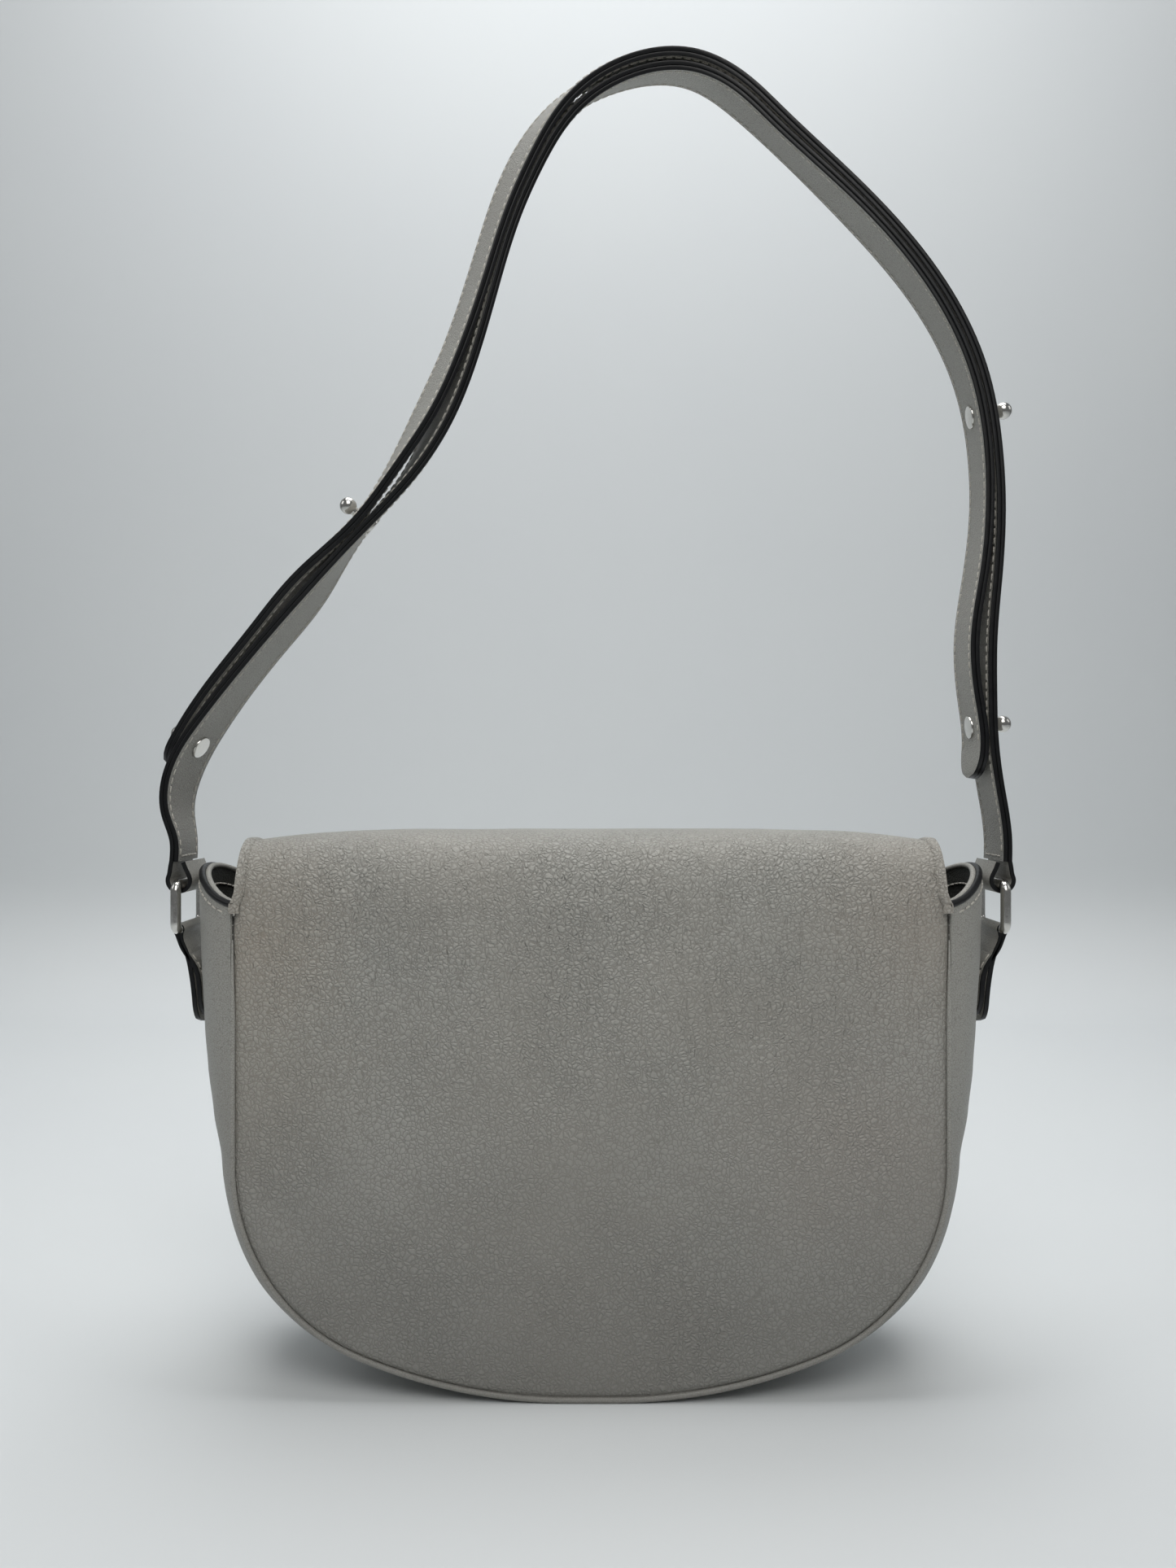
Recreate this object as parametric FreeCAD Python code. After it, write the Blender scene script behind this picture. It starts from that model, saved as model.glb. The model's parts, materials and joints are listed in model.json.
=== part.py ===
"""Saddle-flap leather shoulder bag, hung by its strap.

Millimetres, +Z up, +X to the right seen from behind the bag, +Y towards the flap side.
The origin is the underside of the strap where a hook bears, at mid-width of the strap.
Each piece is written to parts/NODE.step.
"""
import FreeCAD, Part
import math
import os

V = FreeCAD.Vector
X_AXIS, Y_AXIS, Z_AXIS = V(1, 0, 0), V(0, 1, 0), V(0, 0, 1)

# ---- driving dimensions: where the bag hangs ----
strap_drop = 331.5            # hook to the rings' upper bars
bag_centre_x = -17.2          # the bag hangs a little to one side of the hook
ring_stand_off = 28.7         # from the side of a panel out to its ring

# ---- bag body ----
panel_half_width = 138.5
panel_height = 191.5          # fold of the back panel down to the base
fold_below_bar = 5.5          # the fold lies this far under the rings' upper bars
corner_radius = 80.0          # lower corners of the panels
belly_radius = 212.0          # long curve between a lower corner and the base
base_half_length = 8.0        # flat stretch the bag stands on
body_depth = 76.0
leather = 1.4
lining = 0.8
mouth_rise = 12.5             # the gusset's mouth is higher at mid-depth than at its seams
facing = 1.0
facing_height = 12.0
welt_radius = 1.1
welt_inset = 1.6              # centre of the welt inside the panel's edge
welt_start = 15.0             # below the fold
# fullness of the gusset at mid-depth, from the fold (0) down to the base (1)
gusset_fullness = [(0.0, 21.7), (0.266, 21.4), (0.355, 19.8), (0.444, 15.5), (0.527, 10.5),
                   (0.62, 9.5), (0.76, 11.0), (0.877, 9.0), (0.956, 4.0), (1.0, 0.0)]
base_trim = 0.4               # the loft runs this far under the base and is cut off flat there
gusset_stations = [-1.0, -0.85, -0.5, 0.0, 0.5, 0.85, 1.0]

# ---- flap ----
flap_half_width_fold = 137.0
flap_half_width_ridge = 135.5
flap_rise = 27.3              # ridge above the fold
flap_straight = 15.0          # straight side below the fold, before the round front edge
flap_drop = 141.0             # front edge below the fold
flap_standoff = 4.2           # lining of the flap in front of the front panel
fold_gap = 0.3                # slit between the back panel and the flap at the fold

# ---- magnetic snap ----
snap_radius = 9.0
snap_height = 24.0            # snap centre above the flap's front edge
stud_thickness = 1.5
snap_gap = 0.2
nipple_radius = 2.8
nipple_length = 1.0
socket_hole_radius = 4.4
washer_thickness = 0.5
washer_radius = 8.0

# ---- rings ----
ring_pitch = 18.5             # between the axes of the two bars
ring_inner_width = 27.0
ring_wire_radius = 2.1
ring_corner_radius = 3.5
bar_clearance = 0.08          # bar in its leather loop, radially

# ---- tabs ----
tab_width = 25.0
tab_ply = 2.0
tab_length = 39.0             # lower bar down to the tip
tab_loop_below_bar = 12.0     # the two plies are closed from here down

# ---- strap ----
strap_width = 25.0
strap_ply = 1.8
strap_thickness = 2 * strap_ply
loop_ply = 2.0
loop_inner_radius = 3.6
loop_height = 9.0             # ring bar up to the strap's sewn end
strap_outset = 0.3            # strap's inner face outside the ring bar's axis
tip_radius = 11.0
# Inner face of the stud strap: per cent of the reach to its side's ring, and of the drop
route_left = [(101.4, 91.1), (100.2, 86.6), (94.2, 80.6), (80.3, 70.6), (71.0, 64.4),
              (61.3, 57.1), (49.9, 49.6), (42.6, 42.6), (37.3, 35.4), (32.0, 25.6),
              (27.4, 17.3), (22.6, 10.9), (14.1, 4.1)]
route_right = [(15.3, 0.9), (26.7, 3.0), (38.0, 7.0), (60.0, 16.0), (81.0, 27.4),
               (91.4, 37.1), (95.6, 47.7), (95.8, 53.0), (94.0, 61.5), (91.6, 69.5),
               (92.6, 77.0), (94.0, 82.5), (93.0, 87.0)]
# Slack between the two straps at each of those places and at the hook
slack_left = [None, 0.8, 1.0, 2.2, 3.0, 0.4, 3.2, 3.6, 2.4, 0.6, 0.3, 0.5, 1.0]
slack_hook = 1.6
slack_right = [1.4, 1.0, 0.8, 0.4, 0.3, 0.3, 0.3, 0.8, 2.0, 3.6, 2.0, 0.3, None]
# The hole strap alone, below the stud strap's tip: the same percentages, its inner face
lone_right = [(98.3, 88.5)]

# ---- ball studs: per cent of reach and drop, near the stud strap's inner face ----
stud_places = [(-96.0, 83.4), (-58.5, 54.8), (94.5, 42.2), (93.6, 80.8)]
ball_radius = 3.5
stud_neck_radius = 1.9
stud_neck_stand = 3.2         # neck showing between the leather and the ball
screw_radius = 1.3
screw_head_radius = 4.8
screw_head_thickness = 1.0
screw_depth = 3.0             # thread inside the stud
hole_clearance = 0.15
seat_clearance = 0.1
bore_run_out = 1.0            # bores are cut this far past the faces, which curve

# ---- inner zip pocket on the back wall ----
pocket_fall = 38.0            # zip line below the fold
zip_length = 160.0
zip_half_height = 4.5
frame_border = 9.0
frame_thickness = 1.0
tape_thickness = 0.6
tape_reach = 8.8              # from the zip's middle to the outer edge of a tape
tape_overrun = 2.0
coil_end_gap = 2.0
frame_half_height = 9.0       # from the zip's middle to the middle of the frame's border
pocket_seam = 3.0
pocket_head_room = 10.0       # pocket above the zip's middle
stop_width = 1.8
stop_thickness = 1.2
stop_height = 6.0
stop_inset = 1.0
slider_start = 4.0            # from the closed end of the zip to the slider
coil_half_height = 1.5
coil_thickness = 1.6
pocket_width = 172.0
pocket_depth = 96.0
pocket_ply = 0.5
pocket_thickness = 1.4
slider_length = 9.0
slider_half_height = 3.6
slider_plate = 1.0
slider_clearance = 0.15
bridge_radius = 0.6
bridge_length = 5.2           # between the middles of the bridge's two posts
bridge_post = 1.5
bridge_stand = 2.2
pull_length = 20.0
pull_width = 5.0
pull_thickness = 1.2
pull_sleeve_radius = 1.3
pull_sleeve_length = 3.3
pull_clearance = 0.05

# ---- derived places ----
bar_z = -strap_drop
lower_bar_z = bar_z - ring_pitch
ring_reach = panel_half_width + ring_stand_off
left_x = bag_centre_x - ring_reach
right_x = bag_centre_x + ring_reach
fold_z = bar_z - fold_below_bar
base_z = fold_z - panel_height
back_y = -body_depth / 2
front_y = body_depth / 2
back_inside_y = back_y + leather
front_inside_y = front_y - leather
back_lining_y = back_inside_y + pocket_thickness
corner_x = panel_half_width - corner_radius
corner_z = base_z + belly_radius - math.sqrt((belly_radius - corner_radius) ** 2
                                             - (corner_x - base_half_length) ** 2)
flap_outer_y = front_y + flap_standoff + leather + lining
ridge_z = fold_z + flap_rise
snap_z = fold_z - flap_drop + snap_height
zip_z = fold_z - pocket_fall
zip_face_y = back_lining_y + lining


def save(name, shape):
    """Write one piece; a group of separate solids stays a compound."""
    if shape.ShapeType == "Compound" and len(shape.Solids) == 1:
        shape = shape.Solids[0]
    if not shape.isValid():
        raise ValueError(name + " is not a valid solid")
    shape.exportStep("parts/" + name + ".step")
    box = shape.BoundBox
    print("%-24s %2d solid(s) %10.1f mm3  x %7.1f %7.1f  y %6.1f %6.1f  z %7.1f %7.1f" % (
        name, len(shape.Solids), shape.Volume, box.XMin, box.XMax,
        box.YMin, box.YMax, box.ZMin, box.ZMax))


def group(shapes):
    return Part.makeCompound(shapes)


def box_between(low, high):
    size = V(*high) - V(*low)
    return Part.makeBox(size.x, size.y, size.z, V(*low))


def rod(start, direction, radius, length):
    return Part.makeCylinder(radius, length, start, direction)


def spline(points):
    curve = Part.BSplineCurve()
    curve.interpolate(points)
    return curve


def between(table, place):
    """Read a table of (place, value) with straight lines between its rows."""
    for (low, first), (high, second) in zip(table, table[1:]):
        if place <= high:
            return first + (second - first) * (place - low) / (high - low)
    return table[-1][1]


# ---------------------------------------------------------------- panel outline

def outline_half(inset):
    """Right half of the panel outline, from the fold to the base, with its outward normals."""
    rows = []
    tilt = math.atan2(corner_x - base_half_length, base_z + belly_radius - corner_z)
    for step in range(6):
        z = fold_z + (corner_z - fold_z) * step / 6
        rows.append((V(panel_half_width, 0, z), V(1, 0, 0)))
    for step in range(9):
        angle = -(math.pi / 2 - tilt) * step / 8
        normal = V(math.cos(angle), 0, math.sin(angle))
        rows.append((V(corner_x, 0, corner_z) + normal * corner_radius, normal))
    for step in range(1, 5):
        angle = -math.pi / 2 + tilt * (1 - step / 4)
        normal = V(math.cos(angle), 0, math.sin(angle))
        rows.append((V(base_half_length, 0, base_z + belly_radius) + normal * belly_radius, normal))
    return [(point - normal * inset, normal) for point, normal in rows]


def panel_wire(inset, y, top_z):
    """The panel's outline of straight lines and arcs, drawn in by inset and closed at top_z."""
    edges = []
    tilt = math.atan2(corner_x - base_half_length, base_z + belly_radius - corner_z)

    def at(cx, cz, radius, angle, side):
        return V(bag_centre_x + side * (cx + radius * math.cos(angle)), y,
                 cz + radius * math.sin(angle))

    small, large = corner_radius - inset, belly_radius - inset
    turn = tilt - math.pi / 2
    ends = []
    for side in (1, -1):
        top = V(bag_centre_x + side * (panel_half_width - inset), y, top_z)
        belly_z = base_z + belly_radius
        corner = [at(corner_x, corner_z, small, turn * part, side) for part in (0, 0.5, 1)]
        belly = [at(base_half_length, belly_z, large, -math.pi / 2 + tilt * part, side)
                 for part in (1, 0.5, 0)]
        edges += [Part.LineSegment(top, corner[0]).toShape(), Part.Arc(*corner).toShape(),
                  Part.Arc(corner[2], belly[1], belly[2]).toShape()]
        ends.append((top, belly[2]))
    edges.append(Part.LineSegment(ends[0][1], ends[1][1]).toShape())
    edges.append(Part.LineSegment(ends[0][0], ends[1][0]).toShape())
    return Part.Wire(Part.__sortEdges__(edges))


def panel_plate(inset, y, thickness, top_z):
    face = Part.Face(panel_wire(inset, y, top_z))
    return face.extrude(V(0, thickness, 0))


# ---------------------------------------------------------------- gusset

def bulge(depth_share, height_share):
    return between(gusset_fullness, height_share) * (1 - depth_share ** 2) ** 0.6


def gusset_wire(depth_share, y, inset, top_z):
    """Cross-section of the gusset at one depth, as two curves joined by the flat base."""
    right = []
    for point, normal in outline_half(inset):
        share = min(1.0, max(0.0, (fold_z - point.z) / panel_height))
        full = point + normal * bulge(depth_share, share)
        right.append(V(full.x, y, full.z))
    right[-1] = V(base_half_length, y, base_z + inset - base_trim)
    right.insert(0, V(right[0].x, y, top_z))
    sides = []
    for side in (1, -1):
        sides.append([V(bag_centre_x + side * p.x, y, p.z) for p in right])
    edges = [spline(sides[0]).toShape(),
             Part.LineSegment(sides[0][-1], sides[1][-1]).toShape(),
             spline(sides[1][::-1]).toShape(),
             Part.LineSegment(sides[1][0], sides[0][0]).toShape()]
    return Part.Wire(edges)


def gusset_core(inset):
    """Solid filled by the gusset's outer face drawn in by inset, flat where the bag stands."""
    half = body_depth / 2 - leather
    top_z = fold_z + 2 * mouth_rise
    wires = [gusset_wire(station, station * half, inset, top_z) for station in gusset_stations]
    span = ring_reach + ring_pitch
    above = box_between((bag_centre_x - span, back_y, base_z + inset),
                        (bag_centre_x + span, front_y, top_z + mouth_rise))
    return Part.makeLoft(wires, True, False).common(above)


def mouth_cut(drop):
    """Everything above the gusset's curved mouth, lowered by drop."""
    low, high = V(0, back_y, fold_z - drop), V(0, front_y, fold_z - drop)
    middle = V(0, 0, fold_z + mouth_rise - drop)
    sky = fold_z + 4 * mouth_rise
    edges = [Part.Arc(low, middle, high).toShape(),
             Part.LineSegment(high, V(0, front_y, sky)).toShape(),
             Part.LineSegment(V(0, front_y, sky), V(0, back_y, sky)).toShape(),
             Part.LineSegment(V(0, back_y, sky), low).toShape()]
    face = Part.Face(Part.Wire(edges))
    span = 2 * (ring_reach + ring_pitch)
    face.translate(V(bag_centre_x - span / 2, 0, 0))
    return face.extrude(V(span, 0, 0))


def gusset_layer(outer_inset, inner_inset, y_low, y_high):
    """One layer of the gusset between two depths, open at the mouth and at both panels."""
    span = ring_reach + ring_pitch
    top_z = fold_z + 2 * mouth_rise
    slab = box_between((bag_centre_x - span, y_low, base_z), (bag_centre_x + span, y_high, top_z))
    layer = gusset_core(outer_inset).cut(gusset_core(inner_inset))
    return layer.cut(mouth_cut(0)).common(slab)


def make_gussets():
    save("gusset", gusset_layer(0, leather, back_inside_y, front_inside_y))
    clear_back, clear_front = zip_face_y, front_inside_y - lining
    start = leather + lining
    save("gusset_lining", gusset_layer(leather, start, clear_back, clear_front))
    collar = gusset_layer(start, start + facing, clear_back, clear_front)
    collar = collar.common(mouth_cut(facing_height))
    for name, side in (("mouth_facing_left", -1), ("mouth_facing_right", 1)):
        low_x = min(bag_centre_x, bag_centre_x + side * ring_reach)
        half = box_between((low_x, back_y, base_z),
                           (low_x + ring_reach, front_y, fold_z + 2 * mouth_rise))
        save(name, collar.common(half))


# ---------------------------------------------------------------- panels

def make_panels():
    save("back_panel", panel_plate(0, back_y, leather, fold_z))
    front = panel_plate(0, front_inside_y, leather, fold_z)
    rear_lining = panel_plate(leather, back_lining_y, lining, fold_z)
    window = box_between((bag_centre_x - zip_length / 2 - 3, back_lining_y, zip_z - 9),
                         (bag_centre_x + zip_length / 2 + 3, zip_face_y, zip_z + 9))
    save("back_lining", rear_lining.cut(window))
    socket_hole = rod(V(bag_centre_x, 0, snap_z), Y_AXIS, nipple_radius, body_depth)
    save("front_panel", front.cut(socket_hole))
    front_lining = panel_plate(leather, front_inside_y - lining, lining, fold_z)
    washer_pocket = rod(V(bag_centre_x, front_inside_y - washer_thickness, snap_z), Y_AXIS,
                        washer_radius, washer_thickness)
    save("front_lining", front_lining.cut(washer_pocket))
    save("snap_socket_washer", washer_pocket)
    inset = leather + lining + facing
    strip = panel_plate(inset, front_inside_y - lining - facing, facing, fold_z)
    keep = box_between((bag_centre_x - panel_half_width, back_y, fold_z - 2 * facing_height),
                       (bag_centre_x + panel_half_width, front_y, fold_z))
    save("front_facing", strip.common(keep))


def make_welt(name, y):
    """Thin cord under the turned seam, round the sides and the base of a panel."""
    path = panel_wire(welt_inset, y, fold_z - welt_start)
    edges = [edge for edge in path.Edges
             if min(v.Point.z for v in edge.Vertexes) < fold_z - welt_start - 1]
    route = Part.Wire(Part.__sortEdges__(edges))
    start = route.OrderedVertexes[0].Point
    section = Part.Wire([Part.Circle(start, Z_AXIS, welt_radius).toShape()])
    save(name, route.makePipeShell([section], True, False))


# ---------------------------------------------------------------- flap

def offset_side(curve, first, last, distance, count):
    """Points beside a curve that lies across X or across Y, to its left."""
    points = []
    for step in range(count + 1):
        u = first + (last - first) * step / count
        point, along = curve.value(u), curve.tangent(u)[0]
        left = V(0, -along.z, along.y) if abs(along.x) < 1e-9 else V(-along.z, 0, along.x)
        points.append(point + left * distance)
    return points


def flap_profile(inset):
    """Side view of the flap, from the fold over the ridge and down the front."""
    depth = flap_outer_y - back_y
    shares = [(0.012, 0.43), (0.075, 0.80), (0.2, 0.965), (0.42, 1.0), (0.64, 0.975),
              (0.83, 0.86), (0.95, 0.56), (0.997, 0.05)]
    start = V(0, back_y, fold_z + fold_gap)
    points = [start] + [V(0, back_y + depth * a, fold_z + flap_rise * b) for a, b in shares]
    points.append(V(0, flap_outer_y, fold_z - flap_straight))
    curve = spline(points)
    bent = offset_side(curve, curve.FirstParameter, curve.LastParameter, -inset, 40)
    return bent, V(0, flap_outer_y - inset, fold_z - flap_drop)


def flap_sheet(outer_inset, inner_inset):
    outer, outer_end = flap_profile(outer_inset)
    inner, inner_end = flap_profile(inner_inset)
    edges = [spline(outer).toShape(),
             Part.LineSegment(outer[-1], outer_end).toShape(),
             Part.LineSegment(outer_end, inner_end).toShape(),
             Part.LineSegment(inner_end, inner[-1]).toShape(),
             spline(inner[::-1]).toShape(),
             Part.LineSegment(inner[0], outer[0]).toShape()]
    face = Part.Face(Part.Wire(edges))
    span = 2.1 * flap_half_width_fold
    face.translate(V(bag_centre_x - span / 2, 0, 0))
    return face.extrude(V(span, 0, 0)).common(flap_outline())


def flap_outline():
    """Front view of the flap: nearly straight sides, then half an ellipse."""
    y = back_y - flap_standoff
    side_z = fold_z - flap_straight
    wide, narrow = flap_half_width_fold, flap_half_width_ridge
    top = ridge_z + flap_rise
    top_half = narrow - (wide - narrow) * (top - ridge_z) / flap_rise
    height = flap_drop - flap_straight
    centre = V(bag_centre_x, y, side_z)
    right, left = centre + V(wide, 0, 0), centre - V(wide, 0, 0)
    lower = [V(bag_centre_x + wide * math.cos(a), y, side_z + height * math.sin(a))
             for a in [-math.pi * step / 24 for step in range(25)]]
    edges = [spline(lower).toShape(),
             Part.LineSegment(left, V(bag_centre_x - wide, y, fold_z)).toShape(),
             Part.LineSegment(V(bag_centre_x - wide, y, fold_z),
                              V(bag_centre_x - top_half, y, top)).toShape(),
             Part.LineSegment(V(bag_centre_x - top_half, y, top),
                              V(bag_centre_x + top_half, y, top)).toShape(),
             Part.LineSegment(V(bag_centre_x + top_half, y, top),
                              V(bag_centre_x + wide, y, fold_z)).toShape(),
             Part.LineSegment(V(bag_centre_x + wide, y, fold_z), right).toShape()]
    face = Part.Face(Part.Wire(Part.__sortEdges__(edges)))
    return face.extrude(V(0, 2 * (flap_outer_y - y), 0))


def make_flap():
    save("flap_leather", flap_sheet(0, leather))
    lining_y = flap_outer_y - leather - lining
    washer = rod(V(bag_centre_x, lining_y + lining - washer_thickness, snap_z), Y_AXIS,
                 washer_radius, washer_thickness)
    hole = rod(V(bag_centre_x, lining_y, snap_z), Y_AXIS, nipple_radius, lining)
    save("flap_lining", flap_sheet(leather, leather + lining).cut(washer).cut(hole))
    save("snap_stud_washer", washer)
    disc = rod(V(bag_centre_x, lining_y - stud_thickness, snap_z), Y_AXIS,
               snap_radius, stud_thickness)
    shank_length = lining - washer_thickness
    shank = rod(V(bag_centre_x, lining_y, snap_z), Y_AXIS, nipple_radius, shank_length)
    nipple = Part.makeCone(nipple_radius - 0.6, nipple_radius, nipple_length,
                           V(bag_centre_x, lining_y - stud_thickness - nipple_length, snap_z),
                           Y_AXIS)
    save("snap_stud", disc.fuse(shank).fuse(nipple))


def make_socket():
    thickness = flap_standoff - stud_thickness - snap_gap
    disc = rod(V(bag_centre_x, front_y, snap_z), Y_AXIS, snap_radius, thickness)
    hole = rod(V(bag_centre_x, front_y + thickness - nipple_length - snap_gap, snap_z), Y_AXIS,
               socket_hole_radius, nipple_length + snap_gap)
    shank = rod(V(bag_centre_x, front_inside_y, snap_z), Y_AXIS, nipple_radius, leather)
    save("snap_socket", disc.cut(hole).fuse(shank))


# ---------------------------------------------------------------- rings and tabs

def make_ring(name, x):
    """Rounded-rectangle ring of round wire, standing across the bag's depth."""
    half_width = ring_inner_width / 2 + ring_wire_radius
    half_height = ring_pitch / 2
    centre = V(x, 0, bar_z - half_height)
    straight_y, straight_z = half_width - ring_corner_radius, half_height - ring_corner_radius
    mid = ring_corner_radius * math.sqrt(0.5)
    edges = []
    for side_y, side_z in ((1, 1), (-1, 1), (-1, -1), (1, -1)):
        hub = centre + V(0, side_y * straight_y, side_z * straight_z)
        edges.append(Part.Arc(hub + V(0, side_y * ring_corner_radius, 0),
                              hub + V(0, side_y * mid, side_z * mid),
                              hub + V(0, 0, side_z * ring_corner_radius)).toShape())
    for side in (1, -1):
        bar = centre + V(0, 0, side * half_height)
        edges.append(Part.LineSegment(bar - V(0, straight_y, 0),
                                      bar + V(0, straight_y, 0)).toShape())
        leg = centre + V(0, side * half_width, 0)
        edges.append(Part.LineSegment(leg - V(0, 0, straight_z),
                                      leg + V(0, 0, straight_z)).toShape())
    path = Part.Wire(Part.__sortEdges__(edges))
    start = path.OrderedVertexes[0].Point
    along = path.OrderedEdges[0].tangentAt(path.OrderedEdges[0].FirstParameter)
    section = Part.Wire([Part.Circle(start, along, ring_wire_radius).toShape()])
    save(name, path.makePipeShell([section], True, False))


def tangent_point(hub, radius, point, side):
    """Where a line from point touches a circle in the XZ plane, on the side of +X or -X."""
    gap = point - hub
    distance = math.hypot(gap.x, gap.z)
    turn = math.acos(radius / distance)
    base = math.atan2(gap.z, gap.x)
    spots = [hub + V(radius * math.cos(base + s * turn), 0, radius * math.sin(base + s * turn))
             for s in (1, -1)]
    return max(spots, key=lambda spot: side * spot.x)


def drop_edges(hub, radius, low_x_point, high_x_point, away):
    """Outline round a circle and narrowing to two points; away is +1 below or -1 above them."""
    low_touch = tangent_point(hub, radius, low_x_point, -1)
    high_touch = tangent_point(hub, radius, high_x_point, 1)
    return [Part.LineSegment(low_x_point, low_touch).toShape(),
            Part.Arc(low_touch, hub - V(0, 0, away * radius), high_touch).toShape(),
            Part.LineSegment(high_touch, high_x_point).toShape()]


def closed_face(edges):
    return Part.Face(Part.Wire(Part.__sortEdges__(edges)))


def make_tab(name, side):
    """Two plies turned over the ring's lower bar and sewn down the gusset."""
    x = bag_centre_x + side * ring_reach
    wall = bag_centre_x + side * (panel_half_width + gusset_fullness[0][1])
    outside = wall + side * 2 * tab_ply
    half = tab_width / 2
    hub = V(x, -half, lower_bar_z)
    neck_z = lower_bar_z - tab_loop_below_bar
    outer_radius = ring_wire_radius + bar_clearance + tab_ply
    low_x, high_x = sorted((wall, outside))
    low, high = V(low_x, -half, neck_z), V(high_x, -half, neck_z)
    tip_z = lower_bar_z - tab_length
    corners = [high, V(high_x, -half, tip_z), V(low_x, -half, tip_z), low]
    sides = [Part.LineSegment(a, b).toShape() for a, b in zip(corners, corners[1:])]
    middle = V((low_x + high_x) / 2, -half, neck_z + 2 * tab_ply)
    slot = closed_face(drop_edges(hub, ring_wire_radius + bar_clearance, middle, middle, -1))
    section = closed_face(drop_edges(hub, outer_radius, low, high, -1) + sides)
    tab = section.cut(slot).Faces[0].extrude(V(0, tab_width, 0))
    lower = [edge for edge in tab.Edges
             if abs(edge.CenterOfMass.z - tip_z) < 1e-6
             and abs(abs(edge.CenterOfMass.y) - half) < 1e-6]
    save(name, tab.makeFillet(0.8 * half, lower))


# ---------------------------------------------------------------- strap

def on_route(place, reach):
    across, down = place
    return V(reach * across / 100, 0, -strap_drop * down / 100)


def strap_end(side):
    """Inner face of the strap where it is sewn to the loop round a ring."""
    x = (right_x if side > 0 else left_x) + side * strap_outset
    return V(x, 0, bar_z + loop_height)


def straight_end(side):
    """Two points that send the strap straight up from its ring."""
    end = strap_end(side)
    return [end, end + V(0, 0, loop_height)]


def stud_strap_route():
    left = [on_route(place, left_x) for place in route_left]
    right = [on_route(place, right_x) for place in route_right]
    return spline(straight_end(-1) + left + [V(0, 0, 0)] + right)


def leftwards(curve, u):
    along = curve.tangent(u)[0]
    return V(-along.z, 0, along.x)


def hole_strap_route(inner):
    """Inner face of the hole strap: outside the stud strap by its thickness and the slack."""
    places = [on_route(p, left_x) for p in route_left] + [V(0, 0, 0)]
    places += [on_route(p, right_x) for p in route_right]
    slacks = slack_left + [slack_hook] + slack_right
    points = []
    for place, slack in zip(places, slacks):
        if slack is not None:
            u = inner.parameter(place)
            points.append(inner.value(u) + leftwards(inner, u) * (strap_thickness + slack))
    points += [on_route(p, right_x) for p in lone_right]
    return spline(points + straight_end(1)[::-1])


def ply(curve, low, high, side, turned):
    """Strip of leather beside the strap's line; turned adds the loop round its ring's bar."""
    first, last = curve.FirstParameter, curve.LastParameter
    inner = offset_side(curve, first, last, low, 72)
    outer = offset_side(curve, first, last, high, 72)
    ring_end, tip_end = (0, -1) if side < 0 else (-1, 0)
    end = strap_end(side)
    inner[ring_end] = end + V(side * low, 0, 0)
    outer[ring_end] = end + V(side * high, 0, 0)
    edges = [spline(inner).toShape(), spline(outer).toShape(),
             Part.LineSegment(inner[tip_end], outer[tip_end]).toShape()]
    if turned:
        edges.append(Part.LineSegment(inner[ring_end], end).toShape())
        section = closed_face(edges + loop_edges(side, end, outer[ring_end]))
        section = section.cut(loop_eye(side)).Faces[0]
    else:
        edges.append(Part.LineSegment(inner[ring_end], outer[ring_end]).toShape())
        section = closed_face(edges)
    strip = section.extrude(V(0, strap_width, 0))
    strip.translate(V(0, -strap_width / 2, 0))
    return strip


def loop_hub(side):
    """Middle of the loop's round part: the bar hangs on the bottom of it."""
    slack = loop_inner_radius - ring_wire_radius - bar_clearance
    return V(right_x if side > 0 else left_x, 0, bar_z + slack)


def loop_edges(side, inside, outside):
    low, high = (inside, outside) if side > 0 else (outside, inside)
    return drop_edges(loop_hub(side), loop_inner_radius + loop_ply, low, high, 1)


def loop_eye(side):
    middle = strap_end(side) + V(side * strap_ply, 0, -loop_ply)
    return closed_face(drop_edges(loop_hub(side), loop_inner_radius, middle, middle, 1))


def round_tip(strip, tip):
    """Round the two corners at the strap's free end."""
    corners = [edge for edge in strip.Edges
               if edge.Length < 2 * strap_ply and edge.CenterOfMass.distanceToPoint(tip) < strap_width
               and abs(abs(edge.CenterOfMass.y) - strap_width / 2) < 1e-6]
    return strip.makeFillet(tip_radius, corners)


def stud_axis(place, inner, outer):
    """Start on the stud strap's inner face, direction outwards, and the whole grip."""
    across, down = place
    u = inner.parameter(on_route((abs(across), down), right_x if across > 0 else left_x))
    start, direction = inner.value(u), leftwards(inner, u)
    far = outer.value(outer.parameter(start + direction * strap_thickness))
    grip = (far - start).dot(direction) + strap_thickness
    return start, direction, grip


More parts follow.
